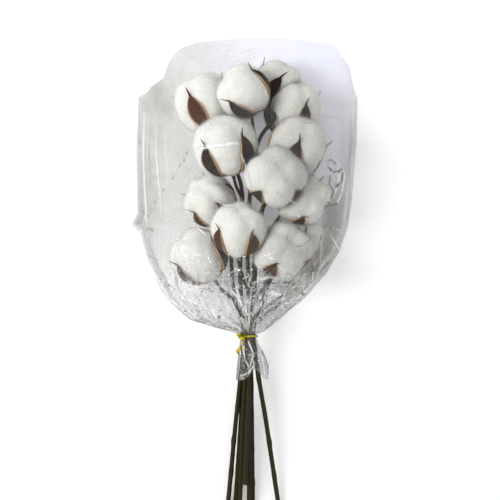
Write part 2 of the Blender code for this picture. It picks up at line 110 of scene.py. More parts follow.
def unit(vectors: np.ndarray) -> np.ndarray:
    """The same vectors with length 1."""
    return vectors / np.maximum(np.linalg.norm(vectors, axis=-1, keepdims=True), 1e-12)


def smoothstep(low: float, high: float, at: np.ndarray) -> np.ndarray:
    """Rises smoothly from 0 at low to 1 at high."""
    share = np.clip((at - low) / (high - low), 0, 1)
    return share * share * (3 - 2 * share)


def soft_min(a: np.ndarray, b: np.ndarray, width: float) -> np.ndarray:
    """The smaller of two, rounded off where they are within width of each other."""
    share = np.clip(0.5 + 0.5 * (b - a) / width, 0, 1)
    return a * share + b * (1 - share) - width * share * (1 - share)


@dataclass(frozen=True)
class Grain:
    """Smooth noise through space, the same on each run."""

    seed: int

    def at(self, points: np.ndarray, size: float | tuple) -> np.ndarray:
        """Noise from about -1 to 1.

        Args:
            points: places in metres, in the last axis.
            size: how far apart its lumps are, or a size for each of X, Y and Z.

        Returns:
            One number for each place.
        """
        scaled = points / np.asarray(size, float)
        cell = np.floor(scaled).astype(np.int64)
        part = scaled - cell
        fade = part ** 3 * (part * (part * 6 - 15) + 10)
        total = np.zeros(points.shape[:-1])
        for corner in itertools.product((0, 1), repeat=3):
            at = cell + np.array(corner)
            mixed = (at[..., 0] * 73856093) ^ (at[..., 1] * 19349663) ^ (at[..., 2] * 83492791)
            mixed = (mixed ^ (self.seed * 2654435761)) & 0xFFFFFFFF
            mixed = ((mixed ^ (mixed >> 15)) * 2246822519) & 0xFFFFFFFF
            mixed = ((mixed ^ (mixed >> 13)) * 3266489917) & 0xFFFFFFFF
            slopes = [((mixed >> shift) & 1023) / 511.5 - 1 for shift in (0, 10, 20)]
            weight = np.prod([fade[..., i] if corner[i] else 1 - fade[..., i] for i in range(3)], axis=0)
            total += weight * sum(slopes[i] * (part[..., i] - corner[i]) for i in range(3))
        return 1.5 * total


def add_piece(name: str, points: np.ndarray, faces: list[np.ndarray], finish: Material,
              marks: dict[str, np.ndarray] | None = None) -> Piece:
    """Makes a smooth-shaded piece.

    Args:
        name: the piece's name.
        points: its points, in metres.
        faces: arrays of point numbers, one array for its triangles and one for its quads.
        finish: its material.
        marks: numbers or colours for each point that the material reads, by name.

    Returns:
        The piece, linked to the scene.
    """
    mesh = bpy.data.meshes.new(name)
    mesh.vertices.add(len(points))
    mesh.vertices.foreach_set("co", np.asarray(points, np.float32).ravel())
    corners = np.concatenate([f.ravel() for f in faces]).astype(np.int32)
    totals = np.concatenate([np.full(len(f), f.shape[1]) for f in faces])
    starts = np.concatenate([[0], np.cumsum(totals)[:-1]]).astype(np.int32)
    mesh.loops.add(len(corners))
    mesh.loops.foreach_set("vertex_index", corners)
    mesh.polygons.add(len(totals))
    mesh.polygons.foreach_set("loop_start", starts)
    mesh.polygons.foreach_set("use_smooth", np.ones(len(totals), bool))
    mesh.update(calc_edges=True)
    mesh.validate()
    for mark, values in (marks or {}).items():
        values = np.asarray(values, np.float32)
        if values.ndim == 1:
            mesh.attributes.new(mark, "FLOAT", "POINT").data.foreach_set("value", values)
        else:
            opaque = np.ones((len(values), 1), np.float32)
            colours = np.concatenate([values, opaque], axis=1)
            mesh.attributes.new(mark, "FLOAT_COLOR", "POINT").data.foreach_set("color", colours.ravel())
    mesh.materials.append(finish)
    piece = bpy.data.objects.new(name, mesh)
    bpy.context.scene.collection.objects.link(piece)
    return piece


def grid_faces(rows: int, columns: int, start: int = 0) -> np.ndarray:
    """Quads of a grid of points that is numbered row by row, and whose rows are rings.

    Args:
        rows: rows of points.
        columns: points in each row.
        start: number of the first point.

    Returns:
        The quads, as four point numbers each.
    """
    row = np.arange(rows - 1)[:, None] * columns
    column = np.arange(columns)[None, :]
    following = (column + 1) % columns
    quads = np.stack(np.broadcast_arrays(row + column, row + columns + column,
                                         row + columns + following, row + following), axis=-1)
    return quads.reshape(-1, 4) + start


def fan_faces(ring: np.ndarray, middle: int, turned: bool) -> np.ndarray:
    """Triangles from each side of a ring of point numbers to one point."""
    following = np.roll(ring, -1)
    sides = (following, ring) if turned else (ring, following)
    return np.stack([*sides, np.full(len(ring), middle)], axis=-1)


def join_strips(strips: list[np.ndarray]) -> tuple[np.ndarray, list[np.ndarray]]:
    """Makes each strip of rings a closed body, with a fan of triangles over each of its ends.

    Args:
        strips: arrays of rings of points.

    Returns:
        The points of them all, and the arrays of their quads and triangles.
    """
    points, quads, fans, count = [], [], [], 0
    for rings in strips:
        rows, columns = rings.shape[:2]
        total = rows * columns
        points += [rings.reshape(-1, 3), rings[0].mean(axis=0)[None], rings[-1].mean(axis=0)[None]]
        quads.append(grid_faces(rows, columns, count))
        fans.append(fan_faces(count + np.arange(columns), count + total, False))
        fans.append(fan_faces(count + total - columns + np.arange(columns), count + total + 1, True))
        count += total + 2
    return np.concatenate(points), [np.concatenate(quads), np.concatenate(fans)]


def join_marks(marks: list[np.ndarray]) -> np.ndarray:
    """Marks of joined strips: the middle of an end has that of the first point of its ring."""
    return np.concatenate([part for mark in marks
                           for part in (mark.reshape(-1, *mark.shape[2:]), mark[0, :1], mark[-1, :1])])


def angle_grid(low: float, high: float, rows: int, columns: int) -> list[np.ndarray]:
    """Polar angles between two in degrees, and turns all the way round, as two grids."""
    return np.meshgrid(np.radians(np.linspace(low, high, rows)),
                       np.arange(columns) * 2 * math.pi / columns, indexing="ij")


def face_outwards(piece: Piece) -> None:
    """Turns the faces of a closed piece outwards."""
    shape = bmesh.new()
    shape.from_mesh(piece.data)
    bmesh.ops.recalc_face_normals(shape, faces=shape.faces)
    shape.to_mesh(piece.data)
    shape.free()


def smooth_line(points: list, steps: int) -> np.ndarray:
    """Points on a smooth curve through the given ones.

    Args:
        points: at least two places.
        steps: points from each given one to the next.

    Returns:
        The curve's points, in order.
    """
    given = np.array([tuple(p) for p in points], float)
    ends = np.concatenate([[2 * given[0] - given[1]], given, [2 * given[-1] - given[-2]]])
    line = []
    for p0, p1, p2, p3 in zip(ends, ends[1:], ends[2:], ends[3:]):
        for t in np.arange(steps) / steps:
            line.append(0.5 * (2 * p1 + (p2 - p0) * t + (2 * p0 - 5 * p1 + 4 * p2 - p3) * t * t
                               + (3 * p1 - p0 - 3 * p2 + p3) * t ** 3))
    return np.array([*line, given[-1]])


def frames_along(line: np.ndarray, side: tuple) -> tuple[np.ndarray, np.ndarray, np.ndarray]:
    """Directions along a line that turn with it and don't twist.

    Args:
        line: its points.
        side: the way that the first side faces, about.

    Returns:
        For each point, the unit ways along the line, to its side and across both.
    """
    along = unit(np.gradient(line, axis=0))
    sides = np.empty_like(along)
    here = np.array(side, float)
    for i, way in enumerate(along):
        here = here - here.dot(way) * way
        here /= np.linalg.norm(here)
        sides[i] = here
    return along, sides, np.cross(along, sides)


# Finishes


class Recipe:
    """A material while its nodes are put together."""

    def __init__(self, name: str) -> None:
        """Starts a material that has the standard shader."""
        self.material = bpy.data.materials.new(name)
        self.material.use_nodes = True
        self.tree = self.material.node_tree
        self.shader = self.tree.nodes["Principled BSDF"]

    @functools.cached_property
    def place(self) -> Socket:
        """Where a point lies on its piece."""
        return add_node(self.tree, "ShaderNodeTexCoord").outputs["Object"]

    def mark(self, name: str) -> Socket:
        """The number that the mesh holds under this name."""
        return add_node(self.tree, "ShaderNodeAttribute", attribute_name=name).outputs["Fac"]

    def marks(self, name: str) -> list[Socket]:
        """The three numbers that the mesh holds under this name."""
        colour = add_node(self.tree, "ShaderNodeAttribute", attribute_name=name).outputs["Color"]
        parts = add_node(self.tree, "ShaderNodeSeparateColor", {"Color": colour})
        return [parts.outputs[part] for part in ("Red", "Green", "Blue")]

    def noise(self, size_mm: float, detail: float, place: Socket | None = None, **inputs: float) -> Socket:
        """Noise from 0 to 1.

        Args:
            size_mm: about how far apart its lumps are.
            detail: how many finer layers it has.
            place: where it is looked up, or None for the place on the piece.
            inputs: the node's other inputs, by name.

        Returns:
            The output socket.
        """
        return add_node(self.tree, "ShaderNodeTexNoise", {
            "Vector": self.place if place is None else place, "Scale": 1 / (size_mm * MM),
            "Detail": detail, **inputs}).outputs["Fac"]

    def cells(self, size_mm: float, feature: str) -> Socket:
        """Distances in a pattern of random cells of a size."""
        return add_node(self.tree, "ShaderNodeTexVoronoi", {
            "Vector": self.place, "Scale": 1 / (size_mm * MM)}, feature=feature).outputs["Distance"]

    def maths(self, operation: str, a: Socket, b: Socket | float, clamp: bool = False) -> Socket:
        """One sum of two numbers, held between 0 and 1 where clamp is set."""
        return add_node(self.tree, "ShaderNodeMath", {0: a, 1: b}, operation=operation,
                        use_clamp=clamp).outputs[0]

    def spread(self, value: Socket, low: float, high: float, start: float = 0.0, end: float = 1.0) -> Socket:
        """A number that goes from low to high while the value goes from start to end."""
        return add_node(self.tree, "ShaderNodeMapRange", {
            "Value": value, "From Min": start, "From Max": end,
            "To Min": low, "To Max": high}).outputs["Result"]

    def step(self, value: Socket, start: float, end: float) -> Socket:
        """Black up to start, and white from end on."""
        ramp = add_node(self.tree, "ShaderNodeValToRGB", {"Fac": value})
        for element, position in zip(ramp.color_ramp.elements, (start, end)):
            element.position = position
        return ramp.outputs["Color"]

    def mix(self, share: Socket, a: Socket | str, b: Socket | str) -> Socket:
        """A colour between two, each a hex colour or an output socket."""
        a, b = (linear(colour) if isinstance(colour, str) else colour for colour in (a, b))
        return add_node(self.tree, "ShaderNodeMix", {"Factor": share, "A": a, "B": b},
                        data_type="RGBA").outputs["Result"]

    def light(self, kind: str, inputs: dict | None = None) -> Socket:
        """One way in which a surface takes light, such as Diffuse."""
        return add_node(self.tree, f"ShaderNodeBsdf{kind}", inputs).outputs["BSDF"]

    def blend(self, share: Socket | float, a: Socket, b: Socket) -> Socket:
        """A shader between two."""
        return add_node(self.tree, "ShaderNodeMixShader", {0: share, 1: a, 2: b}).outputs["Shader"]

    def bump(self, height: Socket, strength: float, depth_mm: float) -> None:
        """Gives the standard shader a fine relief."""
        relief = add_node(self.tree, "ShaderNodeBump", {
            "Height": height, "Strength": strength, "Distance": depth_mm * MM})
        feed(self.shader, {"Normal": relief.outputs["Normal"]})

    def standard(self, inputs: dict) -> Material:
        """The material, with these inputs of the standard shader."""
        feed(self.shader, inputs)
        return self.material

    def surface(self, shader: Socket) -> Material:
        """The material, with a shader of its own in place of the standard one."""
        self.tree.nodes.remove(self.shader)
        feed(self.tree.nodes["Material Output"], {"Surface": shader})
        return self.material


@dataclass(frozen=True)
class CottonLint:
    """Raw cotton lint, fluffed as it dried on the plant.

    Loose white fibre scatters light deep in and shows no gloss: soft grey shade in the folds, and a
    faint tan stain where it touches the capsule.
    """

    name: str = "cotton_lint_dried"
    white: str = "#e5e6e3"
    shade: str = "#dbdad3"
    stain: str = "#c99f74"
    stain_strength: float = 2.2
    wisp_mm: float = 2.2  # tufts of a lock. Single fibres are 0.02 mm, too fine to show
    drift_mm: float = 9.0  # from one whiter patch to the next

    def material(self) -> Material:
        """Builds the material."""
        recipe = Recipe(self.name)
        tufts = recipe.noise(self.wisp_mm, 4.0, Roughness=0.62, Distortion=1.2)
        cream = recipe.mix(recipe.noise(self.drift_mm, 2.0), self.white, self.shade)
        patchy = recipe.maths("MULTIPLY", recipe.mark("stain"), tufts)
        amount = recipe.maths("MULTIPLY", patchy, self.stain_strength, clamp=True)
        recipe.bump(tufts, 0.16, 0.6)
        return recipe.standard({
            "Base Color": recipe.mix(amount, cream, self.stain), "Roughness": 0.95, "Specular IOR Level": 0.1,
            "Subsurface Weight": 0.8, "Subsurface Radius": (1.0, 0.95, 0.85), "Subsurface Scale": 5.0 * MM,
            "Sheen Weight": 0.35, "Sheen Roughness": 0.6})


@dataclass(frozen=True)
class LooseFibre:
    """Loose cotton fibre that stands off the lint.

    Thin and see-through to light, so it reads as a soft white edge and never as hairs.
    """

    name: str = "cotton_fibre_loose"
    white: str = "#f1f1ef"
    tuft_mm: float = 1.6

    def material(self) -> Material:
        """Builds the material."""
        recipe = Recipe(self.name)
        white = {"Color": linear(self.white)}
        both = recipe.blend(0.5, recipe.light("Diffuse", white), recipe.light("Translucent", white))
        dense = recipe.spread(recipe.noise(self.tuft_mm, 3.0), 0.4, 1.6, 0.3, 0.7)
        shown = recipe.maths("MULTIPLY", recipe.mark("cover"), dense, clamp=True)
        return recipe.surface(recipe.blend(shown, recipe.light("Transparent"), both))


@dataclass(frozen=True)
class DriedCapsule:
    """A cotton capsule split open and dried on the plant.

    Its outside is brown to nearly black, ribbed lengthwise with a dull satin gloss, dusty grey towards
    the stalk. Its lining is smooth straw to orange, and its rim is pale and papery.
    """

    name: str
    skin: str
    flecks: str
    dust: str
    dust_share: float
    lining: str = "#c9a06c"
    rim: str = "#dcc096"
    fleck_mm: float = 1.5  # drawn coarser than it is, so that it shows
    cloud_mm: float = 4.0  # from one dusty patch to the next

    def material(self) -> Material:
        """Builds the material."""
        recipe = Recipe(self.name)
        lined, rimmed, dusty = recipe.marks("places")
        flecks = recipe.noise(self.fleck_mm, 5.0, Roughness=0.7)
        cloud = recipe.noise(self.cloud_mm, 4.0, Roughness=0.65)
        colour = recipe.mix(recipe.step(flecks, 0.44, 0.57), self.skin, self.flecks)
        dusty = recipe.maths("MULTIPLY", dusty, cloud)
        dusty = recipe.maths("MULTIPLY", dusty, 2 * self.dust_share, clamp=True)
        for share, over in ((dusty, self.dust), (rimmed, self.rim), (lined, self.lining)):
            colour = recipe.mix(share, colour, over)
        recipe.bump(flecks, 0.4, 0.15)
        return recipe.standard({
            "Base Color": colour, "Roughness": recipe.spread(cloud, 0.5, 0.8), "Specular IOR Level": 0.2})


class Capsule(Enum):
    """The finishes of the capsules in this bunch."""

    DARK = DriedCapsule("cotton_capsule_dark", "#382721", "#150d0b", "#463c36", 0.25)
    RUDDY = DriedCapsule("cotton_capsule_ruddy", "#5f321b", "#2b160d", "#7a6a5c", 0.1)
    DUSTY = DriedCapsule("cotton_capsule_dusty", "#2c2221", "#120d0c", "#4c4a4c", 0.9)
    TAN = DriedCapsule("cotton_capsule_tan", "#5a3820", "#22140d", "#5d5145", 0.2)


@dataclass(frozen=True)
class DriedBark:
    """The bark of a cut cotton stem, dried.

    Almost black green-brown, dull, with fine lengthwise wrinkles and a few pale pores.
    """

    name: str = "cotton_stem_bark_dried"
    bark: str = "#120e05"
    ridge: str = "#3c320d"
    pore: str = "#4a4126"
    pith: str = "#c2b08a"
    wrinkle_mm: float = 0.7
    wrinkle_stretch: tuple[float, float, float] = (1, 0.12, 1)  # drawn out along the stem
    pore_mm: float = 3.5  # from one pore to the next
    pore_share: float = 0.13

    def material(self) -> Material:
        """Builds the material."""
        recipe = Recipe(self.name)
        drawn = add_node(recipe.tree, "ShaderNodeMapping", {
            "Vector": recipe.place, "Scale": self.wrinkle_stretch})
        wrinkles = recipe.noise(self.wrinkle_mm, 4.0, drawn.outputs["Vector"], Roughness=0.6)
        dots = recipe.maths("LESS_THAN", recipe.cells(self.pore_mm, "F1"), self.pore_share)
        colour = recipe.mix(wrinkles, self.bark, self.ridge)
        for share, over in ((dots, self.pore), (recipe.mark("cut"), self.pith)):
            colour = recipe.mix(share, colour, over)
        recipe.bump(wrinkles, 0.6, 0.2)
        return recipe.standard({"Base Color": colour, "Roughness": 0.7, "Specular IOR Level": 0.3})


@dataclass(frozen=True)
class ClearFilm:
    """Clear polypropylene flower film, cast thin and creased by hand.

    See-through with a faint lavender grey cast where layers lie over each other. Creases show as fine
    white lines, partly stress whitening and partly painted glints, and as dark lines of painted shade.
    Patches of painted shade and painted white glare lie on it too, and every small facet that meets a
    lamp glints.
    """

    name: str = "polypropylene_film_creased"
    cast: str = "#d3d6fa"
    # Grey of milky film, also of the grey patches that paint shade down the right
    grey: str = "#8a8a84"
    # White of whitened creases, and of the painted glints and painted glare
    white: str = "#fbfbf9"
    # Colour of painted shade, in dark crease lines and in dark patches over the bolls
    dark: str = "#4c4c47"
    gloss: str = "#ffffff"
    ior: float = 1.49
    reflects: float = 0.65  # less than two clean faces do, for the film is scuffed
    edge_cover: float = 0.08  # what its thickness adds where it is seen edge on
    streak_mm: float = 14.0  # from one thicker streak to the next
    full_shade: float = 0.2  # the mark "shade" from which the tint is all dark
    crease_mm: tuple[float, ...] = (24.0, 11.0, 6.0)  # from one fine crease to the next
    crease_wide_mm: float = 0.65  # half of a crease's width, as wide as it takes to show

    def material(self) -> Material:
        """Builds the material."""
        recipe = Recipe(self.name)
        veil, grey, pale = recipe.marks("film")
        streaks = recipe.noise(self.streak_mm, 3.0, Distortion=0.6)
        # The pale share holds painted glints and painted glare
        tint = recipe.mix(pale, recipe.mix(grey, self.cast, self.grey), self.white)
        veil = recipe.maths("MULTIPLY", veil, recipe.spread(streaks, 0.75, 1.25))
        edge_on = add_node(recipe.tree, "ShaderNodeLayerWeight", {"Blend": 0.25}).outputs["Facing"]
        cover = recipe.maths("ADD", veil, recipe.maths("MULTIPLY", edge_on, self.edge_cover), clamp=True)
        # Painted shade: dark crease lines, and dark patches that darken the bolls under the film
        shade = recipe.mark("shade")
        tint = recipe.mix(recipe.spread(shade, 0.0, 1.0, end=self.full_shade), tint, self.dark)
        cover, tint = self.creased(recipe, recipe.maths("MAXIMUM", cover, shade), tint)
        body = recipe.blend(cover, recipe.light("Transparent"), recipe.light("Diffuse", {"Color": tint}))
        gloss = recipe.light("Glossy", {"Color": linear(self.gloss), "Roughness": 0.06})
        mirror = add_node(recipe.tree, "ShaderNodeFresnel", {"IOR": self.ior}).outputs["Fac"]
        return recipe.surface(recipe.blend(recipe.maths("MULTIPLY", mirror, self.reflects), body, gloss))

    def creased(self, recipe: Recipe, cover: Socket, tint: Socket) -> tuple[Socket, Socket]:
        """Adds nets of fine broken crease lines, painted white as glints or dark as shade, as strong as the
        mesh's mark for them says.

        Args:
            recipe: the material.
            cover: how much of what lies behind the film hides.
            tint: the colour of what hides it.

        Returns:
            The cover and the tint with the creases.
        """
        dense = recipe.mark("crease_and_glint_net")
        for spacing in self.crease_mm:
            net = recipe.cells(spacing, "DISTANCE_TO_EDGE")
            line = recipe.spread(net, 1.0, 0.0, end=self.crease_wide_mm / spacing)
            gaps = recipe.noise(spacing / 1.3, 1.0)
            broken = recipe.maths("MULTIPLY", line, recipe.spread(gaps, 0.0, 1.0, 0.47, 0.56))
            shown = recipe.maths("MULTIPLY", broken, dense)
            cover = recipe.maths("MAXIMUM", cover, shown)
            # Some lines are painted white as glints, the others dark as shade
            turned = recipe.mix(recipe.spread(gaps, 0.0, 1.0, 0.60, 0.63), self.white, self.dark)
            tint = recipe.mix(shown, tint, turned)
        return cover, tint


@dataclass(frozen=True)
class FoilTie:
    """Metallised polyester twist tie over a soft iron wire, in gold.

    A mirror-like yellow, with random brown patches of painted shade for where it turns from the light.
    """

    name: str = "metallised_tie_gold"
    gold: str = "#efdc25"
    # Brown of the painted shade
    painted_shade_brown: str = "#57460a"
    shade_patch_mm: float = 1.4  # from one patch of painted shade to the next

    def material(self) -> Material:
        """Builds the material."""
        recipe = Recipe(self.name)
        shade_patches = recipe.noise(self.shade_patch_mm, 3.0)
        recipe.bump(shade_patches, 0.5, 0.15)
        # The gold is painted brown in random patches of shade
        return recipe.standard({
            "Base Color": recipe.mix(recipe.step(shade_patches, 0.47, 0.58), self.gold, self.painted_shade_brown),
            "Metallic": 0.55, "Roughness": 0.25})


@dataclass(frozen=True)
class StudioPaper:
    """Matt white background paper on a light table, smooth and even."""

    name: str = "background_paper_white"
    white: str = "#fafafa"
    lit: float = 0.25  # what the light table adds

    def material(self) -> Material:
        """Builds the material."""
        return Recipe(self.name).standard({
            "Base Color": linear(self.white), "Emission Color": linear(self.white),
            "Emission Strength": self.lit, "Roughness": 0.9, "Specular IOR Level": 0.1})


# Bolls


@dataclass(frozen=True)
class Boll:
    """The shape of one open boll, shared by its lint and its bur.

    A place on it is given by polar, the angle from its open top, and turn, the angle round its axis
    from the middle of its first valve.
    """

    name: str
    centre: tuple[float, float, float]
    radius: float
    axis: tuple[float, float, float]
    valve_faces: tuple[float, float, float]
    locks: int
    capsule: Capsule = Capsule.DARK

    @property
    def period(self) -> float:
        """The turn from one valve to the next."""
        return 2 * math.pi / self.locks

    def axes(self) -> np.ndarray:
        """The ways that its first valve faces, across that, and up through its open top."""
        up = np.array(self.axis) / np.linalg.norm(self.axis)
        facing = np.array(self.valve_faces) - np.dot(self.valve_faces, up) * up
        facing /= np.linalg.norm(facing)
        return np.array([facing, np.cross(up, facing), up])

    def ways(self, polar: np.ndarray, turn: np.ndarray) -> np.ndarray:
        """Unit ways from its middle."""
        level = np.sin(polar)
        parts = np.stack([level * np.cos(turn), level * np.sin(turn), np.cos(polar) + 0 * turn], axis=-1)
        return parts @ self.axes()

    def bare(self, polar: np.ndarray, turn: np.ndarray) -> np.ndarray:
        """How far its cotton stands out, before its neighbours press it."""
        out, rise, deep, tall = 0.34, 0.05, 0.64, 0.88
        wide, melt, spread = {3: 0.74, 4: 0.62, 5: 0.52}[self.locks], 14, 0.05
        draw = random.Random(f"{SEED} {self.name}")
        total = 0
        for i in range(self.locks):
            size = 1 + draw.uniform(-spread, spread)
            facing = turn - (i + 0.5) * self.period
            way = (np.sin(polar) * np.cos(facing) / deep, np.sin(polar) * np.sin(facing) / wide,
                   np.cos(polar) / tall + 0 * turn)
            dot = way[0] * out / deep + way[2] * rise / tall
            length = way[0] ** 2 + way[1] ** 2 + way[2] ** 2
            inside = (out / deep) ** 2 + (rise / tall) ** 2 - 1
            total = total + (size * (dot + np.sqrt(dot * dot - length * inside)) / length) ** melt
        return self.radius * total ** (1 / melt)

    def room(self, ways: np.ndarray, others: tuple["Boll", ...]) -> np.ndarray:
        """How far each way may go before it meets a neighbour or the sleeve's floor."""
        centre, floor, near, grazing = np.array(self.centre), 0.0012, 1.6, 0.05
        walls = [(np.array([0, 0, -1.0]), centre[2] - floor)]
        for other in others:
            apart = np.array(other.centre) - centre
            length = np.linalg.norm(apart)
            if other is not self and length <= near * (self.radius + other.radius):
                middle = (length ** 2 + self.radius ** 2 - other.radius ** 2) / (2 * length)
                walls.append((apart / length, middle - GAP))
        free = np.full(ways.shape[:-1], 1.0)
        for normal, distance in walls:
            towards = ways @ normal
            meets = np.minimum(free, distance / np.maximum(towards, grazing))
            free = np.where(towards > grazing, meets, free)
        return free

    def valve_half(self, polar: np.ndarray) -> np.ndarray:
        """Half of the turn that a valve takes at each polar angle, in radians."""
        tip, to_widest, end = 63.5, 45.0, 1.35  # the last is how far it goes on past its widest
        widest = math.radians(18) * {3: 1.1, 4: 1.05, 5: 0.95}[self.locks]
        swing = np.clip((np.degrees(polar) - tip) / to_widest, 0, end) * math.pi / 2
        return widest * np.maximum(np.sin(swing), 0.0) ** 0.8

    def across_valve(self, polar: np.ndarray, turn: np.ndarray) -> np.ndarray:
        """How far a place is from the middle of its nearest valve, as a share of the valve's half width."""
        from_middle = (turn + self.period / 2) % self.period - self.period / 2
        return np.abs(from_middle) / np.maximum(self.valve_half(polar), math.radians(0.5))

    def shell(self, polar: np.ndarray, middle: float, across: np.ndarray,
              half: np.ndarray) -> tuple[np.ndarray, np.ndarray]:
        """The outer face of a valve.

        Args:
            polar: polar angles.
            middle: turn of the valve's middle.
            across: shares of its half width, from -1 to 1.
            half: half of its width at each polar angle, in radians.

        Returns:
            How far it is from the boll's middle, and how thick the valve is there.
        """
        edge_thick, middle_thick, bulge = 0.0009, 0.0016, 0.97
        crown = 1 - across ** 2
        thick = edge_thick + (middle_thick - edge_thick) * crown
        here = self.bare(polar, middle + across * half)
        edges = (self.bare(polar, middle - half) + self.bare(polar, middle + half)) / 2 + edge_thick
        peak = np.maximum(self.bare(polar, middle + 0 * half) + middle_thick, bulge * edges)
        arch = edges + (peak - edges) * crown
        return np.maximum(here + thick, arch) + GAP, thick


@dataclass
class Lint:
    """The cotton of one boll: a lobed cloud of lint, and the loose fibres that stand off it."""

    boll: Boll
    others: tuple[Boll, ...]
    rows: int = 64
    columns: int = 108
    fibres: int = 7500
    press: float = 2.2 * MM  # how soon pressed lint gives way
    lumps: tuple = ((11 * MM, 1.0 * MM), (4.2 * MM, 0.42 * MM), (1.7 * MM, 0.16 * MM))  # size, height
    fibre_length: tuple = (3.0 * MM, 8.5 * MM)
    fibre_width: float = 0.20 * MM  # a real fibre is 0.02 mm, which wouldn't show
    fibre_cover: float = 0.24
    fluff: tuple = ((0.9 * MM, 0.36), (1.9 * MM, 0.20))  # how far out the finest fluff stands, and its cover
    fluff_rows: int = 32
    fluff_columns: int = 56
    ends: tuple[float, float] = (2.0, 168.0)  # polar angles of its first and last ring, in degrees
    fluff_ends: tuple[float, float] = (3.0, 150.0)
    under_depth: float = 0.9 * MM  # how far it gives way under a valve that is pressed on it
    lowest: float = 0.1 * MM  # no fibre lies nearer the floor
    fibre_bend: float = 0.55  # the share of a fibre's length where it bends, and how much it tapers

    def reach(self, polar: np.ndarray, turn: np.ndarray) -> np.ndarray:
        """How far the lint's surface is from the boll's middle."""
        boll = self.boll
        ways = boll.ways(polar, turn)
        bare = boll.bare(polar, turn)
        free = boll.room(ways, self.others)
        places = np.array(boll.centre) + bare[..., None] * ways
        rough = sum(height * Grain(3 + i).at(places, size) for i, (size, height) in enumerate(self.lumps))
        under_valve = (1 - smoothstep(1.0, 1.5, boll.across_valve(polar, turn))) * smoothstep(
            math.radians(70), math.radians(80), polar)
        loose = soft_min(bare + rough * (1 - under_valve), free, self.press)
        pushed = loose - self.under_depth * under_valve * (free < bare + 2 * MM)
        return np.where(under_valve > 0, pushed, loose)

    def stain(self, polar: np.ndarray, turn: np.ndarray) -> np.ndarray:
        """How tan the lint is: most along the valves' edges and at the base."""
        beside = np.exp(-np.maximum(self.boll.across_valve(polar, turn) - 0.8, 0) / 0.35)
        beside = beside * smoothstep(math.radians(72), math.radians(100), polar)
        return np.clip(0.75 * beside + 0.5 * smoothstep(math.radians(125), math.radians(150), polar), 0, 1)

    def build(self, lint: Material, fibre: Material) -> tuple:
        """Builds the cloud and its fibres.

        Args:
            lint: material of the cloud.
            fibre: material of the fibres.

        Returns:
            The two pieces.
        """
        polar, turn = angle_grid(*self.ends, self.rows, self.columns)
        rings = np.array(self.boll.centre) + self.reach(polar, turn)[..., None] * self.boll.ways(polar, turn)
        points, faces = join_strips([rings])
        stain = np.concatenate([self.stain(polar, turn).ravel(), [0, 1]])
        cloud = add_piece(f"lint_{self.boll.name}", points, faces, lint, {"stain": stain})
        return cloud, self.loose_fibres(fibre)

    def fluff_shells(self) -> tuple[list, list, list]:
        """Closed shells of the finest fluff, which is too fine for strips, as points, quads and covers."""
        boll = self.boll
        polar, turn = angle_grid(*self.fluff_ends, self.fluff_rows, self.fluff_columns)
        ways = boll.ways(polar, turn)
        beside = (1 - smoothstep(1.2, 2.0, boll.across_valve(polar, turn))) * smoothstep(
            math.radians(58), math.radians(70), polar)
        reach, free = self.reach(polar, turn), boll.room(ways, self.others)
        points, quads, covers, count = [], [], [], 0
        for out, cover in self.fluff:
            stand = np.minimum(reach + out * (1 - beside), np.maximum(free, reach) + 0.3 * out)
            stand = np.where(beside > 0.9, reach - 0.5 * MM, stand)
            points.append((np.array(boll.centre) + stand[..., None] * ways).reshape(-1, 3))
            quads.append(grid_faces(self.fluff_rows, self.fluff_columns, count))
            covers.append(np.full(polar.size, cover))
            count += polar.size
        return points, quads, covers

    def loose_fibres(self, fibre: Material) -> Piece:
        """Builds thin tapered strips that curl off the surface, none where it is pressed or under a valve."""
        draw = np.random.default_rng([SEED, sum(map(ord, self.boll.name))])
        polar = np.arccos(draw.uniform(-0.85, 0.999, self.fibres * 2))
        turn = draw.uniform(0, 2 * math.pi, self.fibres * 2)
        ways = self.boll.ways(polar, turn)
        bare, free = self.boll.bare(polar, turn), self.boll.room(ways, self.others)
        under = (self.boll.across_valve(polar, turn) < 1.15) & (polar > math.radians(76))
        kept = np.flatnonzero(~under & (free > bare - 1.0 * MM))[:self.fibres]
        polar, turn, ways = polar[kept], turn[kept], ways[kept]
        root = np.array(self.boll.centre) + (self.reach(polar, turn) - 0.4 * MM)[:, None] * ways
        aside = unit(np.cross(ways, draw.normal(size=ways.shape)))
        lean = draw.uniform(0.35, 1.3, len(kept))[:, None]
        heading = np.cos(lean) * ways + np.sin(lean) * aside
        beside = (self.boll.across_valve(polar, turn) < 2.6) & (polar > math.radians(62))
        length = (draw.uniform(*self.fibre_length, len(kept)) * np.where(beside, 0.35, 1.0))[:, None]
        curl = unit(draw.normal(size=ways.shape)) * draw.uniform(0.15, 0.5, len(kept))[:, None]
        broad = unit(np.cross(heading, draw.normal(size=ways.shape))) * self.fibre_width / 2
        points = []
        for step in (0.0, self.fibre_bend):
            middle = root + length * (step * heading + step ** 2 * curl)
            narrow = broad * (1 - self.fibre_bend * step)
            points += [middle - narrow, middle + narrow]
        points.append(root + length * (heading + curl))
        points = np.stack(points, axis=1)
        points[..., 2] = np.maximum(points[..., 2], self.lowest)
        shells, sides, covers = self.fluff_shells()
        start = sum(map(len, shells)) + np.arange(len(kept))[:, None] * 5
        quads, tips = start + np.array([0, 1, 3, 2]), start + np.array([2, 3, 4])
        wisps = add_piece(f"fibres_{self.boll.name}", np.concatenate([*shells, points.reshape(-1, 3)]),
                          [np.concatenate([*sides, quads]), tips], fibre,
                          {"cover": np.concatenate([*covers, np.full(points.size // 3, self.fibre_cover)])})
        wisps.visible_shadow = False  # they are drawn wider than they are
        return wisps


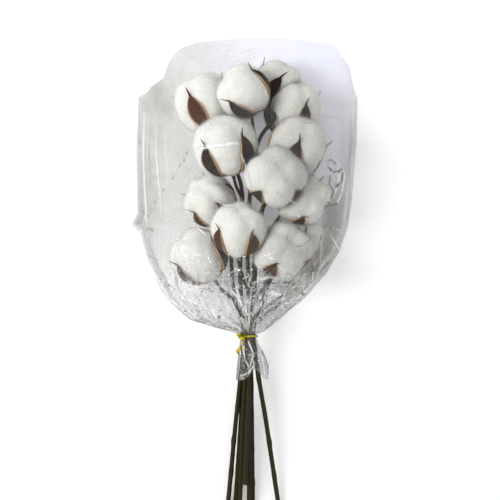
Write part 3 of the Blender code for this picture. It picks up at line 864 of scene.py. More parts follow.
@dataclass
class Bur:
    """The dried capsule of one boll: boat-shaped valves that end in curled spurs, on a cup and a stalk."""

    boll: Boll
    others: tuple[Boll, ...]
    rows: int = 30
    spur_rows: int = 14
    columns: int = 13
    cup_columns: int = 48
    cup_rows: int = 14
    spur_length: float = 8.3 * MM
    stalk_radius: float = 1.9 * MM
    stalk_length: float = 6.5 * MM
    valve_end: float = 157.0  # polar angle where a valve runs into the cup, in degrees
    spur_start: float = 66.0
    spur_run: float = 12.0  # how far towards the open top a spur goes, in degrees
    collar: float = 148.0  # polar angle of the cup's edge, in degrees
    underside: float = 152.0
    belly: float = 7.5 * MM  # how far the cup swells
    neck: float = 3.0 * MM  # length of the stalk below the cup
    wave: float = 0.28 * MM  # of a valve's face
    rib: float = 0.13 * MM
    rolled_edge: float = 0.35 * MM
    spur_thick: float = 0.22 * MM

    def seat(self) -> np.ndarray:
        """The middle of the cup's underside, where the stalk starts."""
        turn = np.arange(self.cup_columns) * 2 * math.pi / self.cup_columns
        return self.cup_ring(math.radians(self.underside), turn).mean(axis=0)

    def foot(self) -> np.ndarray:
        """The end of the stalk."""
        return self.seat() - self.stalk_length * self.boll.axes()[2]

    def cup_ring(self, polar: float, turn: np.ndarray) -> np.ndarray:
        """Points round the outside of the cup at one polar angle."""
        angles = np.full_like(turn, polar)
        ways = self.boll.ways(angles, turn)
        out = np.minimum(self.boll.bare(angles, turn) + 0.9 * MM + GAP, self.boll.room(ways, self.others))
        return np.array(self.boll.centre) + out[:, None] * ways

    def valve(self, number: int, draw: np.random.Generator) -> tuple[np.ndarray, np.ndarray]:
        """One valve as a closed strip of rings.

        Args:
            number: which valve.
            draw: where its own bends come from.

        Returns:
            Its rings of points, and for each point how much lining, rim and dust it shows.
        """
        boll = self.boll
        middle = number * boll.period
        spur = np.linspace(0, 1, self.spur_rows + 1)[1:]
        degrees = np.concatenate([np.linspace(self.valve_end, self.spur_start, self.rows),
                                  self.spur_start - self.spur_run * spur])
        along = np.concatenate([np.zeros(self.rows), spur])[:, None]
        polar = np.radians(degrees)[:, None]
        bend, lean, lift = draw.uniform(-7, 7), draw.uniform(-2.0, 2.0), draw.uniform(0.85, 1.0)
        start_half = boll.valve_half(np.radians(self.spur_start))
        spur_half = start_half * (1 - along) ** 0.8 + math.radians(0.35)
        half = np.where(along > 0, spur_half, boll.valve_half(polar))
        sway = np.radians(bend * along ** 2 + lean * smoothstep(100, 66, degrees)[:, None])
        across = np.linspace(-1, 1, self.columns)[None, :]
        shell_polar = np.maximum(polar, math.radians(self.spur_start)) + 0 * across
        out, thick = boll.shell(shell_polar, middle, across + 0 * polar, half + 0 * across)
        wave = self.wave * np.sin(3.1 * across + number) * smoothstep(150, 118, degrees)[:, None]
        ribs = self.rib * np.sin(across * 15 + 2 * np.sin(np.radians(degrees)[:, None] * 5 + number))
        rolled = smoothstep(0.78, 1.0, np.abs(across)) * smoothstep(72, 90, degrees)[:, None]
        out = out + (ribs + wave) * (1 - along) + self.rolled_edge * rolled
        out = out + lift * self.spur_length * along ** 1.55
        thick = thick * (1 - along) ** 0.7 + self.spur_thick * along
        places = middle + across * half + sway
        ways = boll.ways(polar + 0 * across, places)
        out = np.minimum(out, boll.room(ways, self.others))
        centre = np.array(boll.centre)
        outer = centre + out[..., None] * ways
        inner = centre + (out - thick)[..., None] * ways
        rings = np.concatenate([outer, inner[:, ::-1]], axis=1)
        edge = smoothstep(0.80, 0.97, np.abs(across)) * smoothstep(68, 84, degrees)[:, None]
        dust = smoothstep(88, 150, degrees)[:, None] + 0 * across
        outside = np.stack([0 * edge, 0.85 * edge, dust], axis=-1)
        inside = np.stack([1 - 0.9 * along + 0 * edge, edge, 0 * dust], axis=-1)
        return rings, np.concatenate([outside, inside[:, ::-1]], axis=1)

    def cup(self, draw: np.random.Generator) -> tuple[np.ndarray, np.ndarray]:
        """The cup and the stalk, as rings from the cup's collar down to the stalk's end."""
        turn = np.arange(self.cup_columns) * 2 * math.pi / self.cup_columns
        up = self.boll.axes()[2]
        seat, foot = self.seat(), self.foot()
        collar = self.cup_ring(math.radians(self.collar), turn)
        outwards = collar - seat
        outwards = unit(outwards - (outwards @ up)[:, None] * up)
        collar = collar + (0.5 * MM * np.sin(self.boll.locks * 2 * turn + draw.uniform(0, 6)))[:, None] * up
        belly = seat + self.belly * outwards - 0.4 * MM * up
        neck = foot + self.neck * up + self.stalk_radius * outwards
        rings = []
        for share in np.linspace(0, 1, self.cup_rows):
            bowl = (1 - share) ** 2 * collar + 2 * share * (1 - share) * belly + share ** 2 * neck
            ridge = 0.18 * MM * np.sin(self.boll.locks * 4 * turn) * math.sin(math.pi * share)
            rings.append(bowl + ridge[:, None] * outwards)
        for down in (0.5, 1.0):
            rings.append(neck - self.neck * down * up)
        rings = np.array(rings)
        dust = np.broadcast_to(np.linspace(0.9, 0.5, len(rings))[:, None], rings.shape[:2])
        rim = np.broadcast_to((np.arange(len(rings)) == 0)[:, None] * 0.6, rings.shape[:2])
        return rings, np.stack([0 * dust, rim, dust], axis=-1)

    def build(self, finish: Material) -> Piece:
        """Builds the bur as one piece of closed shells."""
        draw = np.random.default_rng([SEED, 7, sum(map(ord, self.boll.name))])
        valves = [self.valve(i, draw) for i in range(self.boll.locks)]
        strips, marks = zip(*valves, self.cup(draw))
        bur = add_piece(f"capsule_{self.boll.name}", *join_strips(strips), finish,
                        {"places": join_marks(marks)})
        face_outwards(bur)
        return bur


# Stems


@dataclass
class CutStem:
    """A cut stem from its foot through the tie to its top boll, with a twig to a second boll."""

    name: str
    foot: tuple[float, float, float]
    slot: tuple[float, float]
    way: tuple
    top: str
    fork: int = 0
    twig_way: tuple = ()
    twig: str = ""
    sides: int = 14
    steps: int = 14
    foot_radius: float = 2.3 * MM
    top_radius: float = 1.7 * MM
    twig_radius: float = 1.5 * MM
    approach: float = 9 * MM
    tie_pitch: float = 4.6 * MM
    joint_spacing: float = 31 * MM  # from one leaf scar to the next
    knot_length: float = 2.0 * MM
    scar_turn: float = 2.4  # from one leaf scar to the next round the stem, in radians

    def route(self, burs: dict[str, Bur], tie: np.ndarray) -> tuple[np.ndarray, np.ndarray | None]:
        """The lines of the stem and of its twig."""
        slot = tie + self.tie_pitch * np.array([self.slot[0], 0, self.slot[1]])
        foot = np.array(self.foot)
        main = smooth_line([foot, (foot + slot) / 2, slot, *self.way, *self.into(burs[self.top])], self.steps)
        if not self.twig:
            return main, None
        twig = [self.way[self.fork], *self.twig_way, *self.into(burs[self.twig])]
        return main, smooth_line(twig, self.steps)

    def into(self, bur: Bur) -> list[np.ndarray]:
        """The last two points of a line that runs into a bur's stalk."""
        up, end = bur.boll.axes()[2], bur.foot()
        return [end - (self.approach + 0.8 * MM) * up, end + 0.3 * MM * up]

    def rod(self, line: np.ndarray, thick: np.ndarray, draw: np.random.Generator,
            cut: bool) -> tuple[np.ndarray, np.ndarray]:
        """Rings of points along a line.

        Args:
            line: the line's points.
            thick: the radius at each of them.
            draw: where its knots and bumps come from.
            cut: whether it starts at a cut end.

        Returns:
            The rings, and for each point how much cut wood it shows.
        """
        _, side, other = frames_along(line, (0, 0, 1))
        turn = np.arange(self.sides) * 2 * math.pi / self.sides
        length = np.concatenate([[0], np.cumsum(np.linalg.norm(np.diff(line, axis=0), axis=1))])
        phase = (length / self.joint_spacing + draw.uniform()) % 1
        knot = np.exp(-((phase - 0.5) * self.joint_spacing / self.knot_length) ** 2)[:, None]
        facing = np.floor(length / self.joint_spacing + 0.5)[:, None] * self.scar_turn
        scar = 1 + knot * (0.10 + 0.28 * np.maximum(np.cos(turn[None] - facing), 0) ** 3)
        ways = np.cos(turn)[None, :, None] * side[:, None] + np.sin(turn)[None, :, None] * other[:, None]
        rings = line[:, None] + thick[:, None, None] * ways
        lumps = Grain(21).at(rings, (2.2 * MM, 9 * MM, 2.2 * MM))
        rings = line[:, None] + (thick[:, None] * (scar + 0.07 * lumps))[..., None] * ways
        shown = np.zeros(rings.shape[:2])
        if cut:
            slope = 0.7 * MM * np.cos(turn + draw.uniform(0, 6))
            rings[0] += slope[:, None] * np.array([0, 1.0, 0])
            face = line[0] + 0.86 * (rings[0] - line[0])
            rings = np.concatenate([face[None], rings])
            shown = np.concatenate([np.ones((1, self.sides)), shown])
        return rings, shown

    def build(self, burs: dict[str, Bur], tie: np.ndarray, bark: Material) -> Piece:
        """Builds the stem and its twig as one piece."""
        draw = np.random.default_rng([SEED, 13, sum(map(ord, self.name))])
        main, twig = self.route(burs, tie)
        rods = [self.rod(main, np.linspace(self.foot_radius, self.top_radius, len(main)), draw, True)]
        if twig is not None:
            swell = self.twig_radius + 0.5 * MM * np.exp(-np.arange(len(twig)) / 4)
            rods.append(self.rod(twig, swell, draw, False))
        strips, shown = zip(*rods)
        piece = add_piece(f"cut_{self.name}", *join_strips(strips), bark, {"cut": join_marks(shown)})
        face_outwards(piece)
        return piece


# Sleeve


@dataclass(frozen=True)
class Crease:
    """One sharp fold in the film, from one point to another on the plan, in millimetres."""

    start: tuple[float, float]
    end: tuple[float, float]
    width: float
    height: float
    white: float = 0.5  # how white the film is along it, partly stress whitening and partly a painted glint; below 0 a line of painted shade
    back: bool = False

    @classmethod
    def along(cls, corners: tuple, width: float, height: float, white: float) -> list["Crease"]:
        """Creases from each corner to the next."""
        return [cls(a, b, width, height, white) for a, b in zip(corners, corners[1:])]

    def beads(self, count: int) -> list["Crease"]:
        """Short dents along it, by turns painted in shade and painted white."""
        start, run = np.array(self.start), np.array(self.end) - np.array(self.start)
        aside = np.array([-run[1], run[0]]) / np.linalg.norm(run)
        dents = []
        for i in range(count):
            near, far = (start + run * (i + part) / count + aside * math.sin(2.7 * i) for part in (0.0, 0.7))
            white = self.white * (-0.6) ** (i % 3)
            dents.append(replace(self, start=tuple(near), end=tuple(far), white=white))
        return dents


@dataclass(frozen=True)
class HazeAndPaintedLight:
    """A patch of film that is rubbed, lies double or is crumpled, so it lets less through, or a patch of
    painted shade or of painted white glare.
    """

    middle: tuple[float, float]  # on the plan, in millimetres
    reach: tuple[float, float]
    amount: float
    grey: float = 1.0  # 0 where it keeps the film's own cast
    pale: float = 0.0  # 1 where it is white; in the small patches at the back top a painted glare
    back: bool = True
    dark: bool = False  # painted shade: it darkens what lies under it

    def at(self, points: np.ndarray) -> np.ndarray:
        """How strong it is at each point, up to 1."""
        away = (points[..., :2] / MM - np.array(self.middle)) / np.array(self.reach)
        return np.exp(-(away ** 2).sum(axis=-1))


@dataclass
class FilmSleeve:
    """The clear sleeve: one sheet of film rolled to a tube, gathered round the stems and crumpled."""

    outline: tuple
    heights: tuple
    back_edge: tuple
    creases: tuple[Crease, ...]
    hazes_and_painted_light: tuple[HazeAndPaintedLight, ...]
    front_columns: int = 340
    back_columns: int = 110
    skirt_rows: int = 28
    body_rows: int = 180
    skirt_y: float = -0.172
    hem_rise: float = 0.010
    neck_y: float = -0.128
    seam_y: float = 0.101
    front_dip: float = 0.006
    flat_reach: float = 1.25
    round_across: float = 0.85
    round_up: float = 0.9
    pleats: int = 18
    pleat: float = 2.4 * MM
    pleat_shares: tuple[float, float] = (0.03, 0.34)  # of the way to the mouth, where pleats fade out
    facet_sizes: tuple = ((26 * MM, 2.4 * MM), (12 * MM, 1.1 * MM), (6 * MM, 0.6 * MM))  # spacing, height
    front_veil: float = 0.02
    back_veil: float = 0.42
    fan_creases: int = 26  # that run up from the tie
    short_creases: int = 190
    lowest: float = 0.05 * MM  # no point lies nearer the floor
    tie: tuple[float, float] = (0.0024, -0.130)
    even_reach: float = 0.075  # how far from the tie facets are as wide as long. Nearer they are narrow
    cut_width: float = 0.50  # of the flat sheet, round the tube
    cut_length: float = 0.32

    def __post_init__(self) -> None:
        """Turns the tables into arrays."""
        self.edges = np.array(self.outline)
        self.levels = np.array(self.heights)
        self.rim = np.array(self.back_edge)

    def across(self, around: np.ndarray) -> np.ndarray:
        """How far across the sleeve a turn lies, from -1 at the left seam to 1 at the right one."""
        return np.copysign(np.abs(np.cos(around)) ** self.round_across, np.cos(around))

    def surface(self, y: np.ndarray, around: np.ndarray, loose: np.ndarray) -> np.ndarray:
        """Points of the smooth sleeve: around is 0 at the right seam and a quarter turn at the front."""
        left, right = (np.interp(y, self.edges[:, 0], self.edges[:, i]) for i in (1, 2))
        front, seam, under = (np.interp(y, self.levels[:, 0], self.levels[:, i]) for i in (1, 2, 3))
        x = (left + right) / 2 + self.across(around) * (right - left) / 2
        height = np.abs(np.sin(around)) ** self.round_up
        flat = 1 + (self.flat_reach - 1) * loose
        z = np.where(np.sin(around) >= 0, seam + (front - seam) * height,
                     seam - (seam - under) * np.minimum(1.0, flat * height))
        return np.stack([x, y, z], axis=-1)

    def rest(self) -> tuple[np.ndarray, np.ndarray, np.ndarray]:
        """The uncreased sleeve.

        Returns:
            Its grid of points, the turn of each, and each one's share of the way from neck to mouth.
        """
        around = np.concatenate([np.linspace(0, math.pi, self.front_columns, endpoint=False),
                                 math.pi + np.linspace(0, math.pi, self.back_columns, endpoint=False)])
        across = self.across(around)
        front = np.sin(around) >= 0
        edge_x, edge_y = (np.interp(across, self.rim[:, 0], self.rim[:, i]) for i in (1, 2))
        edge_y = np.where(front, self.seam_y - self.front_dip * (1 - across ** 2), edge_y)
        shares = np.linspace(0, 1, self.body_rows) ** 1.15
        hem = self.skirt_y + self.hem_rise * np.exp(-((across - 0.15) / 0.45) ** 2)
        down = np.linspace(1, 0, self.skirt_rows + 1)[:-1, None]
        y = np.concatenate([self.neck_y + down * (hem - self.neck_y),
                            self.neck_y + shares[:, None] * (edge_y - self.neck_y)])
        share = np.concatenate([np.zeros(self.skirt_rows), shares])[:, None] + 0 * around
        turn = around[None] + 0 * y
        points = self.surface(y, turn, np.minimum(1.0, 4 * share))
        above = (y - self.seam_y) / np.maximum(edge_y - self.seam_y, 1e-6)
        beyond = np.where(~front & (y > self.seam_y), above, 0)
        points[..., 0] += beyond * (edge_x - points[..., 0])
        points[..., 2] *= 1 - beyond
        return points, turn, share

    @staticmethod
    def normals(points: np.ndarray) -> np.ndarray:
        """Unit ways out of the grid's surface."""
        along = np.gradient(points, axis=0)
        around = np.roll(points, -1, axis=1) - np.roll(points, 1, axis=1)
        return unit(np.cross(along, around))

    @staticmethod
    def crumpled(plan: np.ndarray, spacing: float, height: float, seed: int) -> np.ndarray:
        """Flat facets of random tilt that meet in sharp creases.

        Args:
            plan: two coordinates for each point, in metres.
            spacing: how far apart the facets' corners are.
            height: how far the corners stand up and down.
            seed: which pattern of facets.

        Returns:
            The height at each point.
        """
        draw = np.random.default_rng(seed)
        flat = plan.reshape(-1, 2)
        low, high = flat.min(axis=0) - spacing, flat.max(axis=0) + spacing
        rows = [np.arange(low[i], high[i] + spacing, spacing) for i in (0, 1)]
        corners = np.stack(np.meshgrid(*rows, indexing="ij"), axis=-1).reshape(-1, 2)
        corners += draw.uniform(-0.45, 0.45, corners.shape) * spacing
        levels = draw.normal(0, height, len(corners))
        found = delaunay_2d_cdt([Vector(c) for c in corners], [], [], 0, 1e-9)
        lift = np.zeros(len(flat))
        for a, b, c in found[2]:
            (ax, ay), (bx, by), (cx, cy) = corners[a], corners[b], corners[c]
            near = np.flatnonzero((flat[:, 0] >= min(ax, bx, cx)) & (flat[:, 0] <= max(ax, bx, cx))
                                  & (flat[:, 1] >= min(ay, by, cy)) & (flat[:, 1] <= max(ay, by, cy)))
            dx, dy = flat[near, 0] - cx, flat[near, 1] - cy
            area = (by - cy) * (ax - cx) + (cx - bx) * (ay - cy)
            first = ((by - cy) * dx + (cx - bx) * dy) / area
            second = ((cy - ay) * dx + (ax - cx) * dy) / area
            inside = (first >= 0) & (second >= 0) & (first + second <= 1)
            height_here = levels[c] + first * (levels[a] - levels[c]) + second * (levels[b] - levels[c])
            lift[near[inside]] = height_here[inside]
        return lift.reshape(plan.shape[:-1])

    def fold(self, points: np.ndarray, crease: Crease, front: np.ndarray) -> tuple[np.ndarray, np.ndarray]:
        """How high a crease lifts each point, and how white it paints it, as whitening and glint, or below 0
        how dark, as shade.
        """
        start, end = np.array(crease.start) * MM, np.array(crease.end) * MM
        run = end - start
        length = np.linalg.norm(run)
        plan = points[..., :2] - start
        share = np.clip(plan @ run / length ** 2, 0, 1)
        away = np.linalg.norm(plan - share[..., None] * run, axis=-1)
        side = ~front if crease.back else front
        taper = np.sin(math.pi * np.clip(0.08 + 0.84 * share, 0, 1)) ** 0.5 * side
        lift = crease.height * MM * np.maximum(1 - away / (crease.width * MM), 0) ** 1.4 * taper
        # The crease's line: white as stress whitening and a painted glint, below 0 a line of painted shade
        line = crease.white * np.clip(1.6 - away / (0.27 * crease.width * MM), 0, 1) * taper
        return lift, line

    def random_creases(self) -> list[Crease]:
        """Small creases: a fan of long ones that runs up from the tie, and short ones all over."""
        draw = np.random.default_rng([SEED, 31])
        creases = []
        tie = np.array(self.tie) / MM
        for _ in range(self.fan_creases):
            angle = math.radians(draw.uniform(18, 162))
            near, far = draw.uniform(4, 20), draw.uniform(15, 50)
            ray = np.array([math.cos(angle), math.sin(angle)])
            bend = math.radians(draw.uniform(-14, 14))
            end_ray = np.array([math.cos(angle + bend), math.sin(angle + bend)])
            creases.append(Crease(tuple(tie + near * ray), tuple(tie + (near + far) * end_ray),
                                  draw.uniform(1.6, 3.0), draw.uniform(0.5, 1.4), draw.uniform(-0.5, 0.9),
                                  bool(draw.uniform() < 0.3)))
        for _ in range(self.short_creases):
            middle = np.array([draw.uniform(-98, 98), draw.triangular(-118, -95, 80)])
            angle = math.radians(draw.uniform(0, 180))
            half = draw.uniform(2, 10) * np.array([math.cos(angle), math.sin(angle)])
            white = draw.uniform(-0.6, 0.9) * np.interp(middle[1], (-60, -10), (1.0, 0.3))
            creases.append(Crease(tuple(middle - half), tuple(middle + half), draw.uniform(1.4, 3.0),
                                  draw.uniform(0.3, 1.0), white, bool(draw.uniform() < 0.35)))
        return creases

    def from_tie(self, points: np.ndarray) -> tuple[np.ndarray, np.ndarray]:
        """The turn round the tie at which each point lies, and how far off it is."""
        x, y = points[..., 0] - self.tie[0], points[..., 1] - self.tie[1]
        return np.arctan2(x, np.maximum(y, 0.5 * MM)), np.hypot(x, y)

    def facets(self, points: np.ndarray, front: np.ndarray) -> np.ndarray:
        """How far the facets of the crumpled film stand out, most of all towards the tie."""
        busy = 0.25 + 0.75 * smoothstep(0.02, -0.09, points[..., 1])
        around_tie, reach = self.from_tie(points)
        plan = np.stack([self.even_reach * around_tie + np.where(front, 0, 1.0), reach], axis=-1)
        shares = (0.5 + 0.5 * busy, busy, busy ** 2)
        lift = 0.4 * MM * Grain(44).at(points, (9 * MM, 60 * MM, 30 * MM))
        for seed, (share, (spacing, height)) in enumerate(zip(shares, self.facet_sizes), 41):
            lift += self.crumpled(plan, spacing, height, seed) * share
        return lift

    def gathered(self, points: np.ndarray, turn: np.ndarray, share: np.ndarray) -> np.ndarray:
        """How far the pleats above the tie dip in, and how far the skirt below it waves out."""
        start, end = self.pleat_shares
        tied = smoothstep(0.0, 0.035, share) * (1 - smoothstep(start, end, share))
        tied *= 1 - 0.6 * self.seams(turn)
        wander = 0.5 * Grain(45).at(points, 30 * MM)
        lift = -self.pleat * tied * (0.5 + 0.5 * np.cos(self.pleats * turn + wander))
        lift -= 0.5 * self.pleat * tied * (0.5 + 0.5 * np.cos(2.7 * self.pleats * turn + 3 * wander))
        y = points[..., 1]
        return lift + self.skirt(y) * (0.5 * MM * np.sin(9 * turn + 40 * y) + 0.4 * MM * np.sin(23 * turn))

    def seams(self, turn: np.ndarray) -> np.ndarray:
        """1 along the side seams, where the film lies flat."""
        return smoothstep(0.80, 0.99, np.abs(self.across(turn)))

    @staticmethod
    def skirt(y: np.ndarray) -> np.ndarray:
        """1 on the skirt below the tie."""
        return smoothstep(-0.131, -0.150, y)

    def veils(self, rest: np.ndarray, points: np.ndarray, front: np.ndarray,
              gather: np.ndarray) -> tuple[np.ndarray, ...]:
        """How milky the film is, with patches of painted shade and painted white glare.

        Args:
            rest: its points before it was creased.
            points: its points.
            front: which of them are at the front.
            gather: how near each is to the gather, up to 1.

        Returns:
            How much it hides, how grey and how pale that is, and how deep the painted shade is.
        """
        x, y = rest[..., 0], rest[..., 1]
        around_tie, reach = self.from_tie(rest)
        streaks = np.maximum(Grain(46).at(np.stack([around_tie, 4 * reach, 0 * reach], axis=-1), 0.09), 0)
        veil = np.where(front, self.front_veil, self.back_veil)
        veil = veil + gather * np.where(front, 0.04 + 0.55 * streaks, 0.0)
        grey = np.where(front, 1.0, np.clip(smoothstep(0.02, -0.05, y) + smoothstep(0.01, -0.06, x), 0, 1))
        pale = gather * (0.3 + streaks) * front
        shade = np.zeros_like(x)
        for patch in self.hazes_and_painted_light:
            shown = patch.at(points) * (patch.back != front)
            # Patches of painted shade go to the shade mark
            if patch.dark:
                shade = np.maximum(shade, patch.amount * shown)
                continue
            veil += patch.amount * shown
            taken = abs(patch.amount) * shown / (abs(patch.amount) * shown + 0.12)
            grey += (patch.grey - grey) * taken
            pale += (patch.pale - pale) * taken
        return veil, grey, pale, shade

    def build(self, finish: Material) -> Piece:
        """Builds the creased sleeve."""
        rest, turn, share = self.rest()
        front = np.sin(turn) >= -1e-9
        lift = self.facets(rest, front)
        white, dark = np.zeros_like(lift), np.zeros_like(lift)
        for crease in [*self.creases, *self.random_creases()]:
            up, line = self.fold(rest, crease, front)
            lift += up
            white, dark = np.maximum(white, line), np.maximum(dark, -line)
        lift *= np.where(front, 1.0, 0.35) * smoothstep(0.0, 0.06, share) * (1 - 0.75 * self.seams(turn))
        lift += self.gathered(rest, turn, share)
        points = rest + lift[..., None] * self.normals(rest)
        points[..., 2] = np.maximum(points[..., 2], self.lowest)
        veil, grey, pale, shade = self.veils(rest, points, front, 1 - smoothstep(0.0, 0.42, share))
        # Crease lines show white as whitening and painted glints; dark lines and dark patches give the
        # painted shade
        marks = np.stack([veil + white, grey, pale + 2.2 * white], axis=-1)
        y = rest[..., 1]
        # Where the net of painted crease glints and shade lines shows
        crease_and_glint_net = np.where(front, 0.05, 0.02) + np.where(front, 0.93, 0.35) * smoothstep(-0.040, -0.085, y)
        crease_and_glint_net *= smoothstep(0.0, 0.02, share) + 0.6 * self.skirt(y)
        sleeve = add_piece("film_sleeve", points.reshape(-1, 3), [grid_faces(*share.shape)], finish,
                           {"film": np.clip(marks, 0, 1).reshape(-1, 3), "crease_and_glint_net": crease_and_glint_net.ravel(),
                            "shade": np.maximum(dark, shade).ravel()})
        sleeve.visible_shadow = sleeve.visible_diffuse = False  # it takes next to no light from the bolls
        return sleeve


# Tie


@dataclass
class TwistTie:
    """The twist tie: a foil strip over a wire, once round the neck, with two twisted ends."""

    middle: tuple[float, float, float]
    radius: float = 9.3 * MM
    width: float = 3.0 * MM
    wing: float = 0.35 * MM
    wire: float = 0.9 * MM
    knot: tuple[float, float, float] = (-5.2 * MM, 0.4 * MM, 8.1 * MM)
    band_share: float = 0.5  # the band is twisted tight, so it is narrower than the strip
    long_end: tuple = ((-0.0006, -0.005, 0.0022), (-0.003, -0.011, 0.0012), (-0.0056, -0.0155, 0.0004),
                       (-0.0042, -0.0172, 0.0004))
    loop: tuple = ((-0.0022, 0.0020, 0.0012), (-0.0034, -0.0004, 0.0020), (-0.0012, -0.0022, 0.0026),
                   (0.0014, -0.0006, 0.0020), (0.0004, 0.0018, 0.0012))
    short_end: tuple = ((-0.003, 0.0010, 0.0022), (-0.0062, 0.0016, 0.0014))
    band_steps: int = 120
    end_steps: int = 16

    def section(self) -> np.ndarray:
        """The strip's outline: across its width, and out from it over the wire."""
        across = np.array([-1, -0.6, -0.28, 0, 0.28, 0.6, 1, 1, 0.6, 0.28, 0, -0.28, -0.6, -1])
        bulge = np.exp(-(across / 0.25) ** 2)
        side = np.array([1] * 7 + [-1] * 7)
        thick = self.wing + (self.wire - self.wing) * bulge
        return np.stack([across * self.width / 2, side * thick / 2], axis=-1)

    def strip(self, line: np.ndarray, twist: np.ndarray, side: tuple) -> np.ndarray:
        """Rings of the strip along a line, turned by twist at each point."""
        _, wide, out = frames_along(line, side)
        turned_wide = np.cos(twist)[:, None] * wide + np.sin(twist)[:, None] * out
        turned_out = np.cos(twist)[:, None] * out - np.sin(twist)[:, None] * wide
        section = self.section()
        return (line[:, None] + section[None, :, :1] * turned_wide[:, None]
                + section[None, :, 1:] * turned_out[:, None])

    def build(self, finish: Material) -> Piece:
        """Builds the tie as one piece of closed strips."""
        middle = np.array(self.middle)
        turn = np.linspace(0, 2 * math.pi, self.band_steps, endpoint=False)
        band = middle + self.radius * np.stack([np.cos(turn), 0 * turn, np.sin(turn)], axis=-1)
        band[:, 1] += 0.5 * MM * np.sin(turn + 0.6)
        out = unit(band - middle)
        wide = np.array([0, 1.0, 0]) + 0.15 * np.sin(3 * turn)[:, None] * out
        section = self.band_share * self.section()
        rings = band[:, None] + section[None, :, :1] * wide[:, None] + section[None, :, 1:] * out[:, None]
        strips = []
        for route, turns in ((self.long_end, 7.0), (self.short_end, 3.0), (self.loop, 2.0)):
            line = middle + np.array(self.knot) + smooth_line([(0, 0, 0), *route], self.end_steps)
            strips.append(self.strip(line, np.linspace(0.4, turns, len(line)), (0, 1, 0)))
        points, (quads, fans) = join_strips(strips)
        first = len(points) + np.arange(rings.shape[1])
        last = first + (self.band_steps - 1) * len(first)
        closing = np.stack([last, first, np.roll(first, -1), np.roll(last, -1)], axis=-1)
        quads = np.concatenate([quads, grid_faces(*rings.shape[:2], len(points)), closing])
        points = np.concatenate([points, rings.reshape(-1, 3)])
        tie = add_piece("twist_tie_gold", points, [quads, fans], finish)
        face_outwards(tie)
        return tie


# Studio


@dataclass
class Studio:
    """A pale paper floor, soft lamps and a camera straight above."""

    view_middle: tuple[float, float] = (0.0038, -0.0475)
    view_width: float = 0.475  # of the plane that the camera sees at view_level
    view_level: float = 0.050
    camera_height: float = 4.0
    sensor: float = 36.0
    floor_side: float = 6.0
    sky: float = 0.62
    floor_level: float = -0.3 * MM
    strip: tuple[float, float] = (0.5, 0.015)  # sides of a lamp that only glints
    strip_watts: float = 1.8

    def lamp(self, name: str, place: tuple, size: tuple[float, float], watts: float, soft: bool) -> None:
        """Adds a rectangular lamp that faces the bunch.

        Args:
            name: its name.
            place: where it stands.
            size: its width and height.
            watts: its power.
            soft: True for one that lights the bunch, False for one that only glints in glossy pieces.
        """
        light = bpy.data.lights.new(name, "AREA")
        light.shape = "RECTANGLE"
        light.size, light.size_y = size
        light.energy = watts
        holder = bpy.data.objects.new(name, light)
        holder.location = place
        holder.rotation_euler = (Vector((0, 0, 0.05)) - Vector(place)).to_track_quat("-Z", "Y").to_euler()
        holder.visible_glossy, holder.visible_diffuse = not soft, soft
        bpy.context.scene.collection.objects.link(holder)

    def build(self, paper: Material) -> None:
        """Builds the floor, the lamps and the camera."""
        half = self.floor_side / 2
        corners = np.array([(x, y, self.floor_level)
                            for x, y in ((-half, -half), (half, -half), (half, half), (-half, half))])
        add_piece("floor", corners, [np.array([[0, 1, 2, 3]])], paper)
        scene = bpy.context.scene
        scene.view_settings.view_transform = "Standard"
        world = bpy.data.worlds.new("studio")
        world.use_nodes = True
        world.node_tree.nodes["Background"].inputs["Strength"].default_value = self.sky
        world.node_tree.nodes["Background"].inputs["Color"].default_value = (1, 1, 1, 1)
        scene.world = world
        self.lamp("key", (-0.75, 0.15, 1.0), (0.5, 0.7), 8.0, True)
        self.lamp("strip_low", (0.2, -0.9, 1.0), self.strip, self.strip_watts, False)
        self.lamp("strip_low_left", (-0.8, -0.7, 0.9), self.strip, self.strip_watts, False)
        camera = bpy.data.objects.new("camera", bpy.data.cameras.new("camera"))
        camera.data.sensor_width = self.sensor
        camera.data.lens = self.sensor * self.camera_height / self.view_width
        camera.location = (*self.view_middle, self.view_level + self.camera_height)
        scene.collection.objects.link(camera)
        scene.camera = camera


# This bunch

